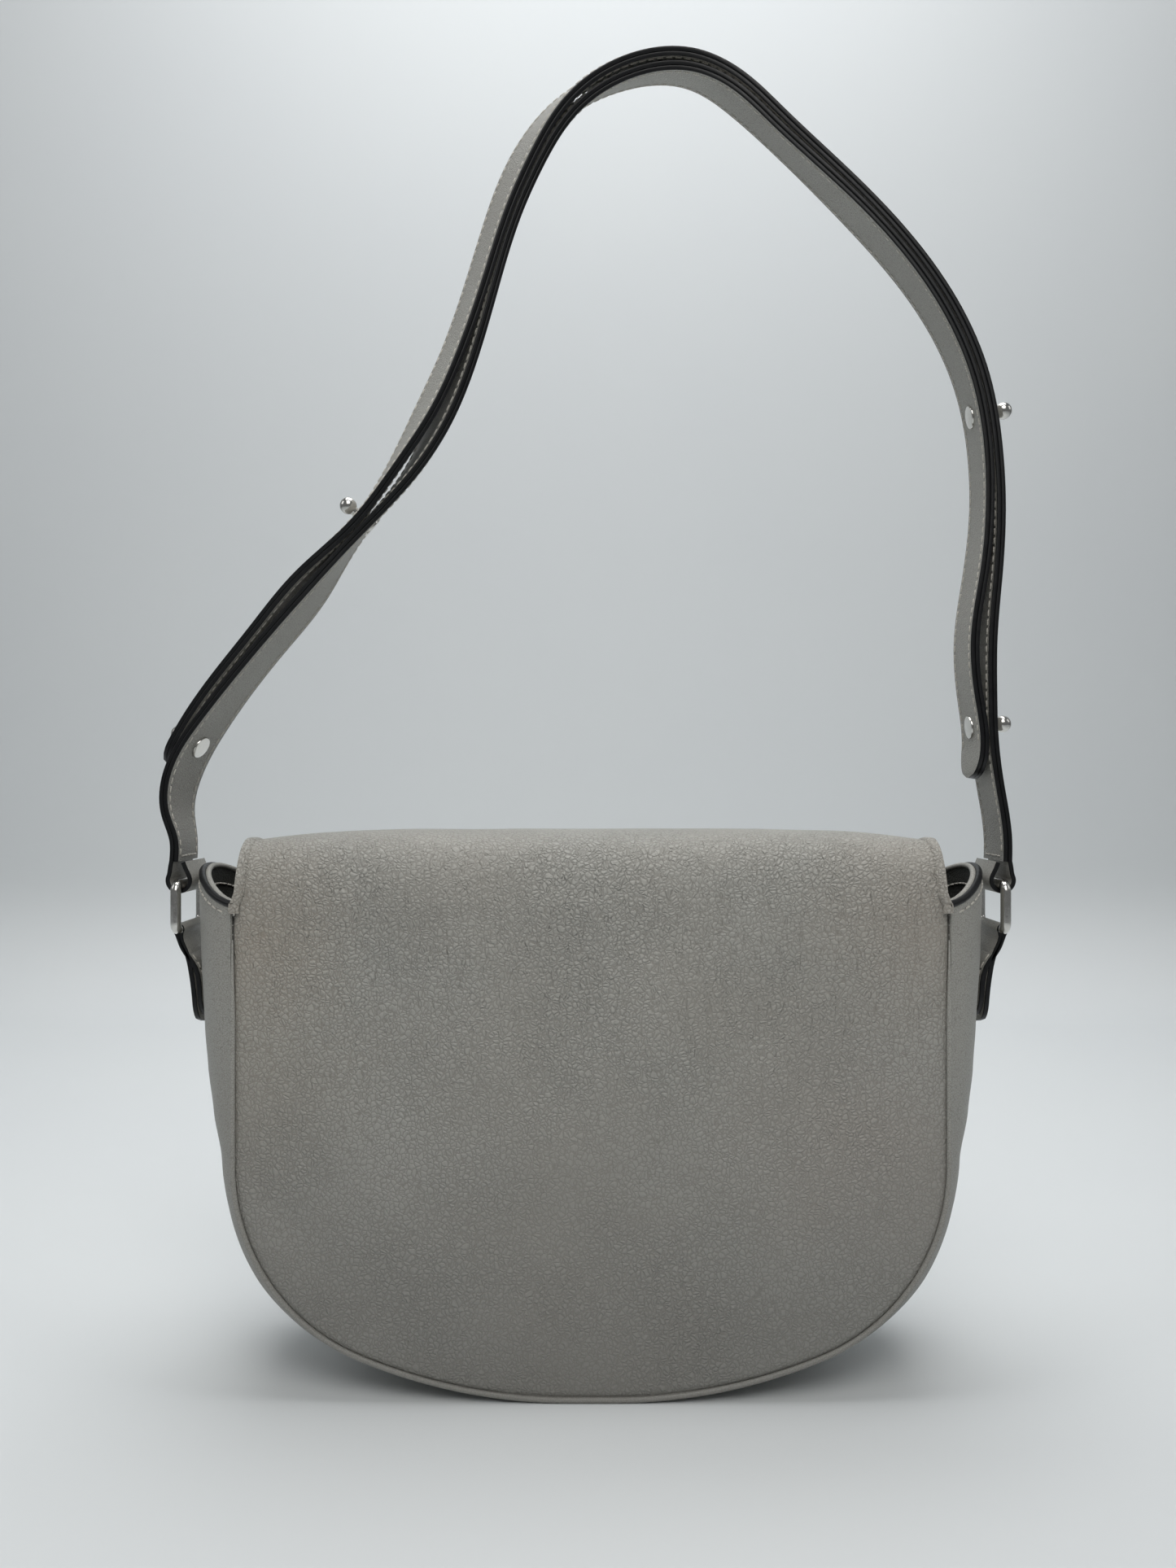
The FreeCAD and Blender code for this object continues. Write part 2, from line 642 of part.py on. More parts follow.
def make_studs(inner, outer):
    balls, screws, bores = [], [], []
    for place in stud_places:
        start, direction, grip = stud_axis(place, inner, outer)
        post_start = start + direction * strap_thickness
        post_length = grip - strap_thickness + stud_neck_stand
        ball_centre = post_start + direction * (post_length + 0.8 * ball_radius)
        post = rod(post_start, direction, stud_neck_radius, post_length)
        thread = rod(post_start, direction, screw_radius, screw_depth)
        ball = Part.makeSphere(ball_radius, ball_centre)
        balls.append(post.fuse(ball).cut(thread))
        head = rod(start, direction * -1, screw_head_radius, screw_head_thickness)
        shank = rod(start, direction, screw_radius, strap_thickness + screw_depth)
        screws.append(head.fuse(shank))
        seat = rod(start, direction * -1, screw_head_radius + seat_clearance,
                   screw_head_thickness + bore_run_out)
        bore = rod(start - direction * bore_run_out, direction,
                   screw_radius + hole_clearance, strap_thickness + 2 * bore_run_out)
        bores.append((seat.fuse(bore),
                      rod(post_start - direction * bore_run_out, direction,
                          stud_neck_radius + hole_clearance, post_length + 2 * bore_run_out)))
    save("ball_studs", group(balls))
    save("stud_screws", group(screws))
    return bores


def make_straps():
    inner = stud_strap_route()
    outer = hole_strap_route(inner)
    bores = make_studs(inner, outer)
    plans = (("stud_strap", inner, -1, 0, inner.value(inner.LastParameter)),
             ("hole_strap", outer, 1, 1, outer.value(outer.FirstParameter)))
    for name, route, side, bore, tip in plans:
        holes = group([pair[bore] for pair in bores])
        inside = ply(route, 0, strap_ply, side, False)
        outside = ply(route, strap_ply, strap_thickness, side, True)
        save(name + "_inner_ply", round_tip(inside, tip).cut(holes))
        save(name + "_outer_ply", round_tip(outside, tip).cut(holes))
        print("%s is %.0f mm long" % (name, route.length()))


# ---------------------------------------------------------------- zip pocket

def make_pocket():
    x, half = bag_centre_x, zip_length / 2
    top = zip_z + pocket_head_room
    bottom = top - pocket_depth
    pouch = box_between((x - pocket_width / 2, back_inside_y, bottom),
                        (x + pocket_width / 2, back_lining_y, top))
    hollow = box_between((x - pocket_width / 2 + pocket_seam, back_inside_y + pocket_ply,
                          bottom + pocket_seam),
                         (x + pocket_width / 2 - pocket_seam, back_lining_y - pocket_ply,
                          top - pocket_seam))
    slot = box_between((x - half, back_inside_y + pocket_ply, zip_z - zip_half_height),
                       (x + half, back_lining_y, zip_z + zip_half_height))
    save("pocket_bag", pouch.cut(hollow).cut(slot))

    frame_reach = frame_half_height + frame_border / 2
    border = box_between((x - half - frame_border, zip_face_y, zip_z - frame_reach),
                         (x + half + frame_border, zip_face_y + frame_thickness,
                          zip_z + frame_reach))
    opening = box_between((x - half, zip_face_y, zip_z - zip_half_height),
                          (x + half, zip_face_y + frame_thickness, zip_z + zip_half_height))
    save("pocket_frame", border.cut(opening))

    tapes = []
    for side in (1, -1):
        near, far = sorted((zip_z + side * coil_half_height, zip_z + side * tape_reach))
        tapes.append(box_between((x - half - tape_overrun, zip_face_y - tape_thickness, near),
                                 (x + half + tape_overrun, zip_face_y, far)))
    save("zip_tapes", group(tapes))
    coil_y = zip_face_y - tape_thickness
    coil_half = half - coil_end_gap
    save("zip_coil", box_between((x - coil_half, coil_y, zip_z - coil_half_height),
                                 (x + coil_half, coil_y + coil_thickness,
                                  zip_z + coil_half_height)))
    stops = []
    for side in (1, -1):
        stop_x = x + side * (half - stop_inset)
        stops.append(box_between(
            (stop_x - stop_width / 2, zip_face_y, zip_z - stop_height / 2),
            (stop_x + stop_width / 2, zip_face_y + stop_thickness, zip_z + stop_height / 2)))
    save("zip_stops", group(stops))
    return coil_y + coil_thickness


def make_slider(coil_face_y):
    """Slider at the closed end, straddling the coil, with a bridge for its pull."""
    start_x = bag_centre_x - zip_length / 2 + slider_start
    plate_y = coil_face_y + slider_clearance
    tape_y = zip_face_y + slider_clearance
    body = box_between((start_x, tape_y, zip_z - slider_half_height),
                       (start_x + slider_length, plate_y + slider_plate,
                        zip_z + slider_half_height))
    channel = coil_half_height + slider_clearance
    body = body.cut(box_between((start_x, tape_y, zip_z - channel),
                                (start_x + slider_length, plate_y, zip_z + channel)))
    middle = start_x + slider_length / 2
    bar_y = plate_y + slider_plate + bridge_stand
    bar = rod(V(middle - bridge_length / 2, bar_y, zip_z), X_AXIS, bridge_radius, bridge_length)
    body = body.fuse(bar)
    for side in (1, -1):
        foot_x = middle + side * bridge_length / 2
        body = body.fuse(box_between(
            (foot_x - bridge_post / 2, plate_y + slider_plate / 2, zip_z - bridge_post / 2),
            (foot_x + bridge_post / 2, bar_y + bridge_post / 2, zip_z + bridge_post / 2)))
    save("zip_slider", body.removeSplitter())
    sleeve = rod(V(middle - pull_sleeve_length / 2, bar_y, zip_z), X_AXIS,
                 pull_sleeve_radius, pull_sleeve_length)
    leaf = box_between((middle - pull_width / 2, bar_y - pull_thickness / 2,
                        zip_z - pull_sleeve_radius - pull_length),
                       (middle + pull_width / 2, bar_y + pull_thickness / 2,
                        zip_z - pull_sleeve_radius))
    stem = box_between((middle - pull_sleeve_length / 2, bar_y - pull_thickness / 2,
                        zip_z - pull_sleeve_radius - 1),
                       (middle + pull_sleeve_length / 2, bar_y + pull_thickness / 2, zip_z))
    eye = rod(V(middle - pull_width, bar_y, zip_z), X_AXIS, bridge_radius + pull_clearance,
              2 * pull_width)
    save("zip_pull", sleeve.fuse(stem).fuse(leaf).cut(eye).removeSplitter())
    print("zip bar at x %.2f y %.2f z %.2f" % (middle, bar_y, zip_z))


def main():
    os.makedirs("parts", exist_ok=True)
    make_straps()
    make_ring("ring_left", left_x)
    make_ring("ring_right", right_x)
    make_tab("tab_left", -1)
    make_tab("tab_right", 1)
    make_panels()
    make_gussets()
    make_welt("back_welt", back_y - welt_radius)
    make_welt("front_welt", front_y + welt_radius)
    make_flap()
    make_socket()
    make_slider(make_pocket())


main()
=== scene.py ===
"""Looks of a saddle-flap leather shoulder bag that hangs by its strap, built round the CAD frame."""

import json
import math

import bpy
import numpy as np
from bpy.props import FloatProperty, FloatVectorProperty, IntProperty, PointerProperty
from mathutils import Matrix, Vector, noise

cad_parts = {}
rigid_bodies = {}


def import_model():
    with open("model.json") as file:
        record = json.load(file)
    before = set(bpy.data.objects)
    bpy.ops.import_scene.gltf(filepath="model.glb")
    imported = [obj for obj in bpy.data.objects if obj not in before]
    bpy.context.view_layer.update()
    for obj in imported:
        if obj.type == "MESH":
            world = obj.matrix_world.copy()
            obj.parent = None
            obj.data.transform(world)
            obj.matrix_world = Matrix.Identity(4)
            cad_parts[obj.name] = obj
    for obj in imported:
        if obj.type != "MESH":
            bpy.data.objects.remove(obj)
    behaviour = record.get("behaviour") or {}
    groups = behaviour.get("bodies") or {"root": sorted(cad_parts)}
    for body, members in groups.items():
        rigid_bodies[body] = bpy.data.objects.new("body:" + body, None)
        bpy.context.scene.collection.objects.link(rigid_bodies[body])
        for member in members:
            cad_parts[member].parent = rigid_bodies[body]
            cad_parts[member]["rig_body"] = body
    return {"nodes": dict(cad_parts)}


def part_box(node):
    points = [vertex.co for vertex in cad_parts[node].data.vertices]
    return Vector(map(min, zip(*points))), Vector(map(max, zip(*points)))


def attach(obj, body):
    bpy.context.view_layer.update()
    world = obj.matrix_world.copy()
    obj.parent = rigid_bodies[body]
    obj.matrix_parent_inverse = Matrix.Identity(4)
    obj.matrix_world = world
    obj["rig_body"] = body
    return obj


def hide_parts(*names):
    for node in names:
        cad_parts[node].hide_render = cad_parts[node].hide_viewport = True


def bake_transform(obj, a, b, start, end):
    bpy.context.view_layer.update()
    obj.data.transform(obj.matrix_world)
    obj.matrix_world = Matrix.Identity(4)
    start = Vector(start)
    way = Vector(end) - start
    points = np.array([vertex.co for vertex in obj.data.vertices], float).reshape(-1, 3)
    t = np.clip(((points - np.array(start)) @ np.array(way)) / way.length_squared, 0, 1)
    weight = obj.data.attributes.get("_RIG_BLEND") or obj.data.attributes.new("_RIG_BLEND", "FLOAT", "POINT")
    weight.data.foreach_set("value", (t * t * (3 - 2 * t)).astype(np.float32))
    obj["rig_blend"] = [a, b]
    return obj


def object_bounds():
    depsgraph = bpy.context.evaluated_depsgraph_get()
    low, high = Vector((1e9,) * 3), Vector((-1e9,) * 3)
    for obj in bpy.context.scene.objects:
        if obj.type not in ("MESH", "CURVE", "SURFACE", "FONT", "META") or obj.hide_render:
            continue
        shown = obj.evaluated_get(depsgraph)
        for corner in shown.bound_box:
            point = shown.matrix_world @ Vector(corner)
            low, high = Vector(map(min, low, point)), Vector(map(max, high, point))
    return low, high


bl_info = {
    "name": "Leather Shoulder Bag",
    "version": (1, 0, 0),
    "blender": (4, 5, 0),
    "location": "View3D > Sidebar > Bag",
    "description": "Builds a saddle-flap shoulder bag of leather piece by piece",
    "category": "Object",
}

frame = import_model()
CAD_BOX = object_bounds()
MM = 0.001


def box_mm(node):
    low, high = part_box(node)
    return low / MM, high / MM


# ---- places taken from the frame, in millimetres ----
PANEL_LOW, PANEL_HIGH = box_mm("back_panel")
FRONT_HIGH = box_mm("front_panel")[1]
FLAP_LOW, FLAP_HIGH = box_mm("flap_leather")
LEFT_RING_LOW, LEFT_RING_HIGH = box_mm("ring_left")
RIGHT_RING_LOW, RIGHT_RING_HIGH = box_mm("ring_right")
TAB_LOW = box_mm("tab_left")[0]
LINING_HIGH = box_mm("back_lining")[1]
COIL_LOW, COIL_HIGH = box_mm("zip_coil")
BASE_Z, FOLD_Z = PANEL_LOW.z, PANEL_HIGH.z
BACK_Y, FRONT_Y = PANEL_LOW.y, FRONT_HIGH.y
CENTRE_X = (PANEL_LOW.x + PANEL_HIGH.x) / 2
HALF_WIDTH = (PANEL_HIGH.x - PANEL_LOW.x) / 2
RIDGE_Z, FLAP_Y, FLAP_TIP_Z = FLAP_HIGH.z, FLAP_HIGH.y, FLAP_LOW.z
WIRE_RADIUS = (LEFT_RING_HIGH.x - LEFT_RING_LOW.x) / 2
LEFT_X = (LEFT_RING_LOW.x + LEFT_RING_HIGH.x) / 2
RIGHT_X = (RIGHT_RING_LOW.x + RIGHT_RING_HIGH.x) / 2
BAR_Z = LEFT_RING_HIGH.z - WIRE_RADIUS
LOWER_BAR_Z = LEFT_RING_LOW.z + WIRE_RADIUS

# ---- outline of the panels: a straight side, two arcs and a flat base ----
CORNER_RADIUS = 80.0
BELLY_RADIUS = 212.0
BASE_HALF = 8.0
CORNER_X = HALF_WIDTH - CORNER_RADIUS
ARC_RUN = CORNER_X - BASE_HALF
ARC_FALL = math.sqrt((BELLY_RADIUS - CORNER_RADIUS) ** 2 - ARC_RUN ** 2)
CORNER_Z = BASE_Z + BELLY_RADIUS - ARC_FALL
ARC_TILT = math.atan2(ARC_RUN, ARC_FALL)

# ---- flap and mouth ----
FLAP_HALF = 137.0
RIDGE_HALF = 135.5
FLAP_STRAIGHT = 15.0
FLAP_SHARES = [(0.012, 0.43), (0.075, 0.80), (0.2, 0.965), (0.42, 1.0), (0.64, 0.975),
               (0.83, 0.86), (0.95, 0.56), (0.997, 0.05)]
MOUTH_RISE = 12.5
# Fullness of the gusset at mid-depth: share of the height below the fold, millimetres
FULLNESS = [(0.0, 21.6), (0.12, 20.8), (0.27, 18.9), (0.355, 17.4), (0.444, 14.6), (0.527, 10.5),
            (0.62, 9.5), (0.76, 10.4), (0.877, 8.2), (0.956, 3.6), (1.0, 0.0)]

# ---- strap: per cent of the reach to its side's ring and of the drop, slack, twist ----
STRAP_DROP = -BAR_Z
LEFT_ROUTE = [(101.4, 91.1), (100.2, 86.6), (94.2, 80.6), (80.3, 70.6), (71.0, 64.4),
              (61.3, 57.1), (49.9, 49.6), (42.6, 42.6), (37.3, 35.4), (32.0, 25.6),
              (27.4, 17.3), (22.6, 10.9), (14.1, 4.1)]
RIGHT_ROUTE = [(15.3, -0.7), (26.7, 1.9), (38.0, 6.4), (60.0, 16.0), (81.0, 27.4),
               (91.4, 37.1), (95.6, 47.7), (95.8, 53.0), (94.0, 61.5), (91.6, 69.5),
               (92.6, 77.0), (94.0, 82.5), (93.0, 87.0)]
LEFT_SLACK = [0.8, 0.8, 1.0, 2.2, 3.0, 0.4, 3.2, 3.6, 2.4, 0.6, 0.3, 0.5, 1.0]
RIGHT_SLACK = [1.4, 1.0, 0.8, 0.4, 0.3, 0.3, 0.3, 0.8, 2.0, 3.6, 2.0, 0.3, 0.3]
HOOK_SLACK = 1.6
LEFT_TWIST = [6, 12, 10, 6, 3, -12, -20, -28, -28, -27, -28, -31, -27]
HOOK_TWIST = -20
RIGHT_TWIST = [-15, -8, -8, -4, -3, -3, -2.5, -2, 0, -1, -1, 0, 0]
LONE_RIGHT = (98.3, 88.5)
STRAP_PLY = 1.8
STRAP_THICKNESS = 2 * STRAP_PLY
STRAP_HALF = 12.5
STRAP_OUTSET = 0.3
LOOP_HEIGHT = 9.0
LOOP_RADIUS = 3.6
STRAP_TIP = 11.0
STUD_PLACES = [(-96.0, 83.4), (-59.6, 55.6), (94.5, 42.2), (93.6, 80.8)]
STUD_GRIPS = [1.6, 2.9, 3.9, 3.9]     # the post is longer by the hole strap's thickness
BALL_RADIUS = 3.5
NECK_RADIUS = 1.9
NECK_STAND = 3.2

# ---- seams, borders and folds ----
SEAM_INSET = 1.4
SEAM_ROLL = 3.2
SEAM_DIP = 1.1
NOTCH_OVERLAP = 1.6
NOTCH_DROP = 3.6
BORDER_START = 0.1
BORDER_LIFT = 0.2
BORDER_PLY = 0.8
BORDER_SEAM = 2.0
FLAP_BULGE = 2.2
FLAP_ROWS_BELOW = 60
BACK_SEED, FRONT_SEED = 1.7, 7.3
STITCH_LIFT = 0.12
STITCH_BOW = 0.16
STITCH_SHAPE = (1.0, 1.0, 0.0)      # width and length as shares of the thread's, depth in mm
# HOLE_SHAPE gives a darker shell round each stitch: painted shade in the needle hole.
HOLE_SHAPE = (1.45, 1.32, 0.4)
FOLD_REACH = 26.0
FOLD_START, FOLD_END = FOLD_Z - 3, FOLD_Z + 15


def linear(code):
    """An sRGB hex colour as linear RGB with alpha."""
    values = [int(code[i:i + 2], 16) / 255 for i in (0, 2, 4)]
    return tuple(v / 12.92 if v <= 0.04045 else ((v + 0.055) / 1.055) ** 2.4 for v in values) + (1,)


class BagSizes(bpy.types.PropertyGroup):
    leather: FloatProperty(name="Leather", description="Thickness of the panels' leather, mm",
                           default=1.4, min=0.5)
    lining: FloatProperty(name="Lining", description="Thickness of the lining, mm", default=0.8)
    fullness: FloatProperty(name="Fullness", description="How far the panels dome outwards, mm",
                            default=5.0)
    pebble: FloatProperty(name="Pebble", description="Size of the leather's pebbles, mm",
                          default=1.8)
    strap_grain: FloatProperty(name="Strap grain", description="Grain size of the strap, mm",
                               default=0.9)
    stitch_length: FloatProperty(name="Stitch length", description="Visible thread, mm",
                                 default=2.8)
    stitch_pitch: FloatProperty(name="Stitch pitch", description="From stitch to stitch, mm",
                                default=3.7)
    thread: FloatProperty(name="Thread", description="Radius of the thread, mm", default=0.42)
    welt: FloatProperty(name="Welt", description="Radius of the welt's ridge, mm", default=1.1)
    band: FloatProperty(name="Band", description="Width of the flap's stitched border, mm",
                        default=3.0)
    coil_pitch: FloatProperty(name="Coil pitch", description="From tooth to tooth, mm",
                              default=1.4)
    columns: IntProperty(name="Columns", description="Divisions across a panel", default=110)


def colour(name, code, note):
    return FloatVectorProperty(name=name, description=note, subtype="COLOR", size=4,
                               min=0, max=1, default=linear(code))


class BagColours(bpy.types.PropertyGroup):
    leather: colour("Leather", "a3a29c", "Taupe-grey calf leather")
    # The groove colour is painted shade in the recesses between the pebbles.
    groove_shade: colour("Groove", "84827c", "Leather between the pebbles")
    edge: colour("Edge paint", "0d0e10", "Painted leather edges")
    lining: colour("Lining", "3b3c38", "Pebbled lining")
    thread: colour("Thread", "d2cec5", "Sewing thread")
    nickel: colour("Nickel", "cfcdc8", "Polished nickel plate")
    tape: colour("Tape", "3a3a36", "Woven zip tape")
    coil: colour("Coil", "55544f", "Nylon coil")
    paper: colour("Paper", "d9dcdd", "Backdrop and table")


def sizes():
    return bpy.context.scene.bag_sizes


def colours():
    return bpy.context.scene.bag_colours


# ---------------------------------------------------------------- materials

def node(tree, kind, settings=None, **links):
    """Add a shader node; settings go to attributes or sockets, links are sockets of other nodes."""
    made = tree.nodes.new(kind)
    for key, value in (settings or {}).items():
        if isinstance(key, int) or key in made.inputs:
            made.inputs[key].default_value = value
        else:
            setattr(made, key, value)
    for key, source in links.items():
        socket = made.inputs[int(key[1:])] if key[0] == "_" else made.inputs[key.replace("_", " ")]
        tree.links.new(source, socket)
    return made


def new_material(name, **shader):
    """A material with a Principled shader and the object's own coordinates in millimetres."""
    material = bpy.data.materials.new(name)
    material.use_nodes = True
    tree = material.node_tree
    principled = tree.nodes["Principled BSDF"]
    for key, value in shader.items():
        principled.inputs[key.replace("_", " ")].default_value = value
    place = node(tree, "ShaderNodeTexCoord").outputs["Object"]
    millimetres = node(tree, "ShaderNodeVectorMath", {"operation": "SCALE", "Scale": 1 / MM},
                       _0=place).outputs[0]
    return material, tree, principled, millimetres


def ramp(tree, value, low, high, out_low=0.0, out_high=1.0):
    """Read a value between low and high as a value between out_low and out_high."""
    return node(tree, "ShaderNodeMapRange",
                {"From Min": low, "From Max": high, "To Min": out_low, "To Max": out_high},
                Value=value).outputs[0]


def feed(tree, sockets, values):
    """Give each socket its value, which is another node's socket or a plain value."""
    for socket, value in zip(sockets, values):
        if isinstance(value, bpy.types.NodeSocket):
            tree.links.new(value, socket)
        else:
            socket.default_value = value


def blend_colours(tree, factor, first, second):
    """Mix two colours; each is a socket or a plain colour."""
    mix = node(tree, "ShaderNodeMix", {"data_type": "RGBA"})
    tree.links.new(factor, mix.inputs["Factor"])
    feed(tree, mix.inputs[6:8], (first, second))
    return mix.outputs[2]


def arithmetic(tree, operation, first, second):
    made = node(tree, "ShaderNodeMath", {"operation": operation})
    feed(tree, made.inputs, (first, second))
    return made.outputs[0]


def spot(tree, millimetres, centre, radius):
    """1 at a place on the bag, fading to 0 at radius."""
    away = node(tree, "ShaderNodeVectorMath", {"operation": "DISTANCE", 1: centre},
                _0=millimetres).outputs["Value"]
    return ramp(tree, away, 0, radius, 1.0, 0.0)


def bump(tree, height, distance, strength, before=None):
    made = node(tree, "ShaderNodeBump", {"Distance": distance * MM, "Strength": strength},
                Height=height)
    if before is not None:
        tree.links.new(before, made.inputs["Normal"])
    return made.outputs[0]


def leather_material(name, pebble, strength, wrinkles, mottle, tint=None):
    """Chrome-tanned calf, drum-tumbled: rounded pebbles with painted shade in their grooves, painted shade
    towards the base and a satin finish.
    """
    material, tree, shader, mm = new_material(name, Roughness=0.5, IOR=1.48)
    shader.inputs["Specular IOR Level"].default_value = 0.42
    shift = node(tree, "ShaderNodeTexNoise", {"Scale": 0.35 / pebble, "Detail": 2.0}, Vector=mm)
    centred = node(tree, "ShaderNodeVectorMath", {"operation": "SUBTRACT", 1: (0.5, 0.5, 0.5)},
                   _0=shift.outputs["Color"]).outputs[0]
    warp = node(tree, "ShaderNodeVectorMath", {"operation": "SCALE", "Scale": 2.2 * pebble},
                _0=centred).outputs[0]
    warped = node(tree, "ShaderNodeVectorMath", {"operation": "ADD"}, _0=mm, _1=warp).outputs[0]
    cells = node(tree, "ShaderNodeTexVoronoi", {"feature": "DISTANCE_TO_EDGE",
                                                "Scale": 1 / pebble}, Vector=warped)
    rounded = node(tree, "ShaderNodeMapRange", {"interpolation_type": "SMOOTHSTEP",
                                                "From Max": 0.34},
                   Value=cells.outputs["Distance"]).outputs[0]
    fine = node(tree, "ShaderNodeTexNoise", {"Scale": 2.4 / pebble, "Detail": 4.0}, Vector=mm)
    patches = node(tree, "ShaderNodeTexNoise", {"Scale": 0.022, "Detail": 2.0}, Vector=mm)
    amount = ramp(tree, patches.outputs["Fac"], 0.35, 0.65, 0.45, 1.0)
    pebbles = arithmetic(tree, "MULTIPLY", rounded, amount)
    normal = bump(tree, pebbles, 0.55, strength)
    normal = bump(tree, fine.outputs["Fac"], 0.1, 0.3 * strength, normal)
    if wrinkles:
        creased = node(tree, "ShaderNodeMapping", {"Scale": (0.36, 0.36, 0.07)}, Vector=mm)
        lines = node(tree, "ShaderNodeTexNoise", {"Scale": 0.75, "Detail": 1.5, "Distortion": 0.9},
                     Vector=creased.outputs[0])
        ridged = arithmetic(tree, "ABSOLUTE", arithmetic(tree, "SUBTRACT",
                                                         lines.outputs["Fac"], 0.5), 0.0)
        height = node(tree, "ShaderNodeSeparateXYZ", {}, Vector=mm).outputs["Z"]
        near_fold = ramp(tree, height, FOLD_Z - 110, FOLD_Z - 15, 0.1, 1.0)
        folds = arithmetic(tree, "MULTIPLY", ramp(tree, ridged, 0.0, 0.03), near_fold)
        normal = bump(tree, folds, 0.8, 0.42 * wrinkles, normal)
    tree.links.new(normal, shader.inputs["Normal"])
    # Painted shade: the groove colour darkens the leather in the recesses between the pebbles.
    base = blend_colours(tree, ramp(tree, cells.outputs["Distance"], 0.0, 0.12),
                         tuple(colours().groove_shade), tuple(colours().leather))
    cloudy = node(tree, "ShaderNodeTexNoise", {"Scale": 0.016, "Detail": 3.0}, Vector=mm)
    shade = tint or linear("98948c")
    base = blend_colours(tree, ramp(tree, cloudy.outputs["Fac"], 0.35, 0.7, 0.0, mottle),
                         base, shade)
    # Painted shade: the leather darkens towards the base, where less light falls.
    low = ramp(tree, node(tree, "ShaderNodeSeparateXYZ", {}, Vector=mm).outputs["Z"],
               FOLD_Z - 50, BASE_Z, 0.0, 0.55)
    base = blend_colours(tree, low, base, linear("6c6a66"))
    if wrinkles:
        marks = [((CENTRE_X - 128, BACK_Y, FOLD_Z - 12), 46, "b09a80", 0.2),
                 ((CENTRE_X - 134, BACK_Y, FOLD_Z - 60), 60, "aa9c86", 0.14),
                 ((CENTRE_X + 126, BACK_Y, FOLD_Z - 6), 50, "b09a86", 0.17),
                 ((CENTRE_X + 112, BACK_Y, FOLD_Z - 90), 70, "a89a92", 0.14)]
        for centre, radius, code, most in marks:
            factor = arithmetic(tree, "MULTIPLY", spot(tree, mm, centre, radius), most)
            base = blend_colours(tree, factor, base, linear(code))
    tree.links.new(base, shader.inputs["Base Color"])
    gloss = ramp(tree, fine.outputs["Fac"], 0.3, 0.7, 0.43, 0.56)
    tree.links.new(gloss, shader.inputs["Roughness"])
    return material


def edge_paint_material():
    """Acrylic edge paint, brushed on in layers: near black and glossy, slightly uneven."""
    material, tree, shader, mm = new_material("edge_paint_acrylic", Roughness=0.38, IOR=1.49)
    shader.inputs["Specular IOR Level"].default_value = 0.35
    shader.inputs["Base Color"].default_value = tuple(colours().edge)
    waves = node(tree, "ShaderNodeTexNoise", {"Scale": 0.45, "Detail": 2.0}, Vector=mm)
    tree.links.new(bump(tree, waves.outputs["Fac"], 0.1, 0.2), shader.inputs["Normal"])
    tree.links.new(ramp(tree, waves.outputs["Fac"], 0.3, 0.7, 0.32, 0.46),
                   shader.inputs["Roughness"])
    return material


def lining_material():
    """Pebble-embossed coated lining, dark grey-green and nearly matt."""
    material, tree, shader, mm = new_material("lining_embossed", Roughness=0.72, IOR=1.47)
    cells = node(tree, "ShaderNodeTexVoronoi", {"feature": "DISTANCE_TO_EDGE", "Scale": 0.75},
                 Vector=mm)
    rounded = ramp(tree, cells.outputs["Distance"], 0.0, 0.25)
    tree.links.new(bump(tree, rounded, 0.2, 0.7), shader.inputs["Normal"])
    # Painted shade: the lining darkens in the recesses between its pebbles.
    base = blend_colours(tree, rounded, linear("282925"), tuple(colours().lining))
    tree.links.new(base, shader.inputs["Base Color"])
    return material


def thread_material():
    """Bonded polyester thread, two strands twisted, with a soft sheen."""
    material, tree, shader, mm = new_material("thread_polyester", Roughness=0.55, IOR=1.53)
    strands = node(tree, "ShaderNodeTexWave", {"Scale": 1.1, "Distortion": 1.0,
                                               "bands_direction": "DIAGONAL"}, Vector=mm)
    base = blend_colours(tree, strands.outputs["Fac"], linear("aaa69d"), tuple(colours().thread))
    tree.links.new(base, shader.inputs["Base Color"])
    tree.links.new(bump(tree, strands.outputs["Fac"], 0.1, 0.5), shader.inputs["Normal"])
    return material


def painted_shade_hole_material():
    """Leather pressed in round a stitch, coloured dark as painted shade in the needle hole."""
    material, tree, shader, mm = new_material("needle_hole_painted_shade", Roughness=0.6, IOR=1.48)
    tone = node(tree, "ShaderNodeTexNoise", {"Scale": 0.8}, Vector=mm)
    tree.links.new(blend_colours(tree, tone.outputs["Fac"], linear("35332f"), linear("4d4b46")),
                   shader.inputs["Base Color"])
    return material


def nickel_material():
    """Die-cast zinc or steel with polished nickel plate, faintly hazed by handling."""
    material, tree, shader, mm = new_material("nickel_plate_polished", Metallic=1.0,
                                              Roughness=0.14)
    shader.inputs["Base Color"].default_value = tuple(colours().nickel)
    haze = node(tree, "ShaderNodeTexNoise", {"Scale": 0.6, "Detail": 4.0}, Vector=mm)
    tree.links.new(ramp(tree, haze.outputs["Fac"], 0.35, 0.7, 0.1, 0.24),
                   shader.inputs["Roughness"])
    scuffs = node(tree, "ShaderNodeTexNoise", {"Scale": 5.0, "Detail": 2.0}, Vector=mm)
    tree.links.new(bump(tree, scuffs.outputs["Fac"], 0.02, 0.15), shader.inputs["Normal"])
    return material


def cloth_material(name, pitch, light, dark):
    """Plain weave: two crossed sets of threads, drawn at their pitch in millimetres."""
    material, tree, shader, mm = new_material(name, Roughness=0.85, IOR=1.5)
    shader.inputs["Sheen Weight"].default_value = 0.15
    sets = []
    for direction in ("X", "Z"):
        wave = node(tree, "ShaderNodeTexWave", {"Scale": 0.314 / pitch,
                                                "bands_direction": direction}, Vector=mm)
        sets.append(wave.outputs["Fac"])
    weave = arithmetic(tree, "MULTIPLY", *sets)
    tree.links.new(bump(tree, weave, 0.15, 0.6), shader.inputs["Normal"])
    tree.links.new(blend_colours(tree, weave, dark, light), shader.inputs["Base Color"])
    return material


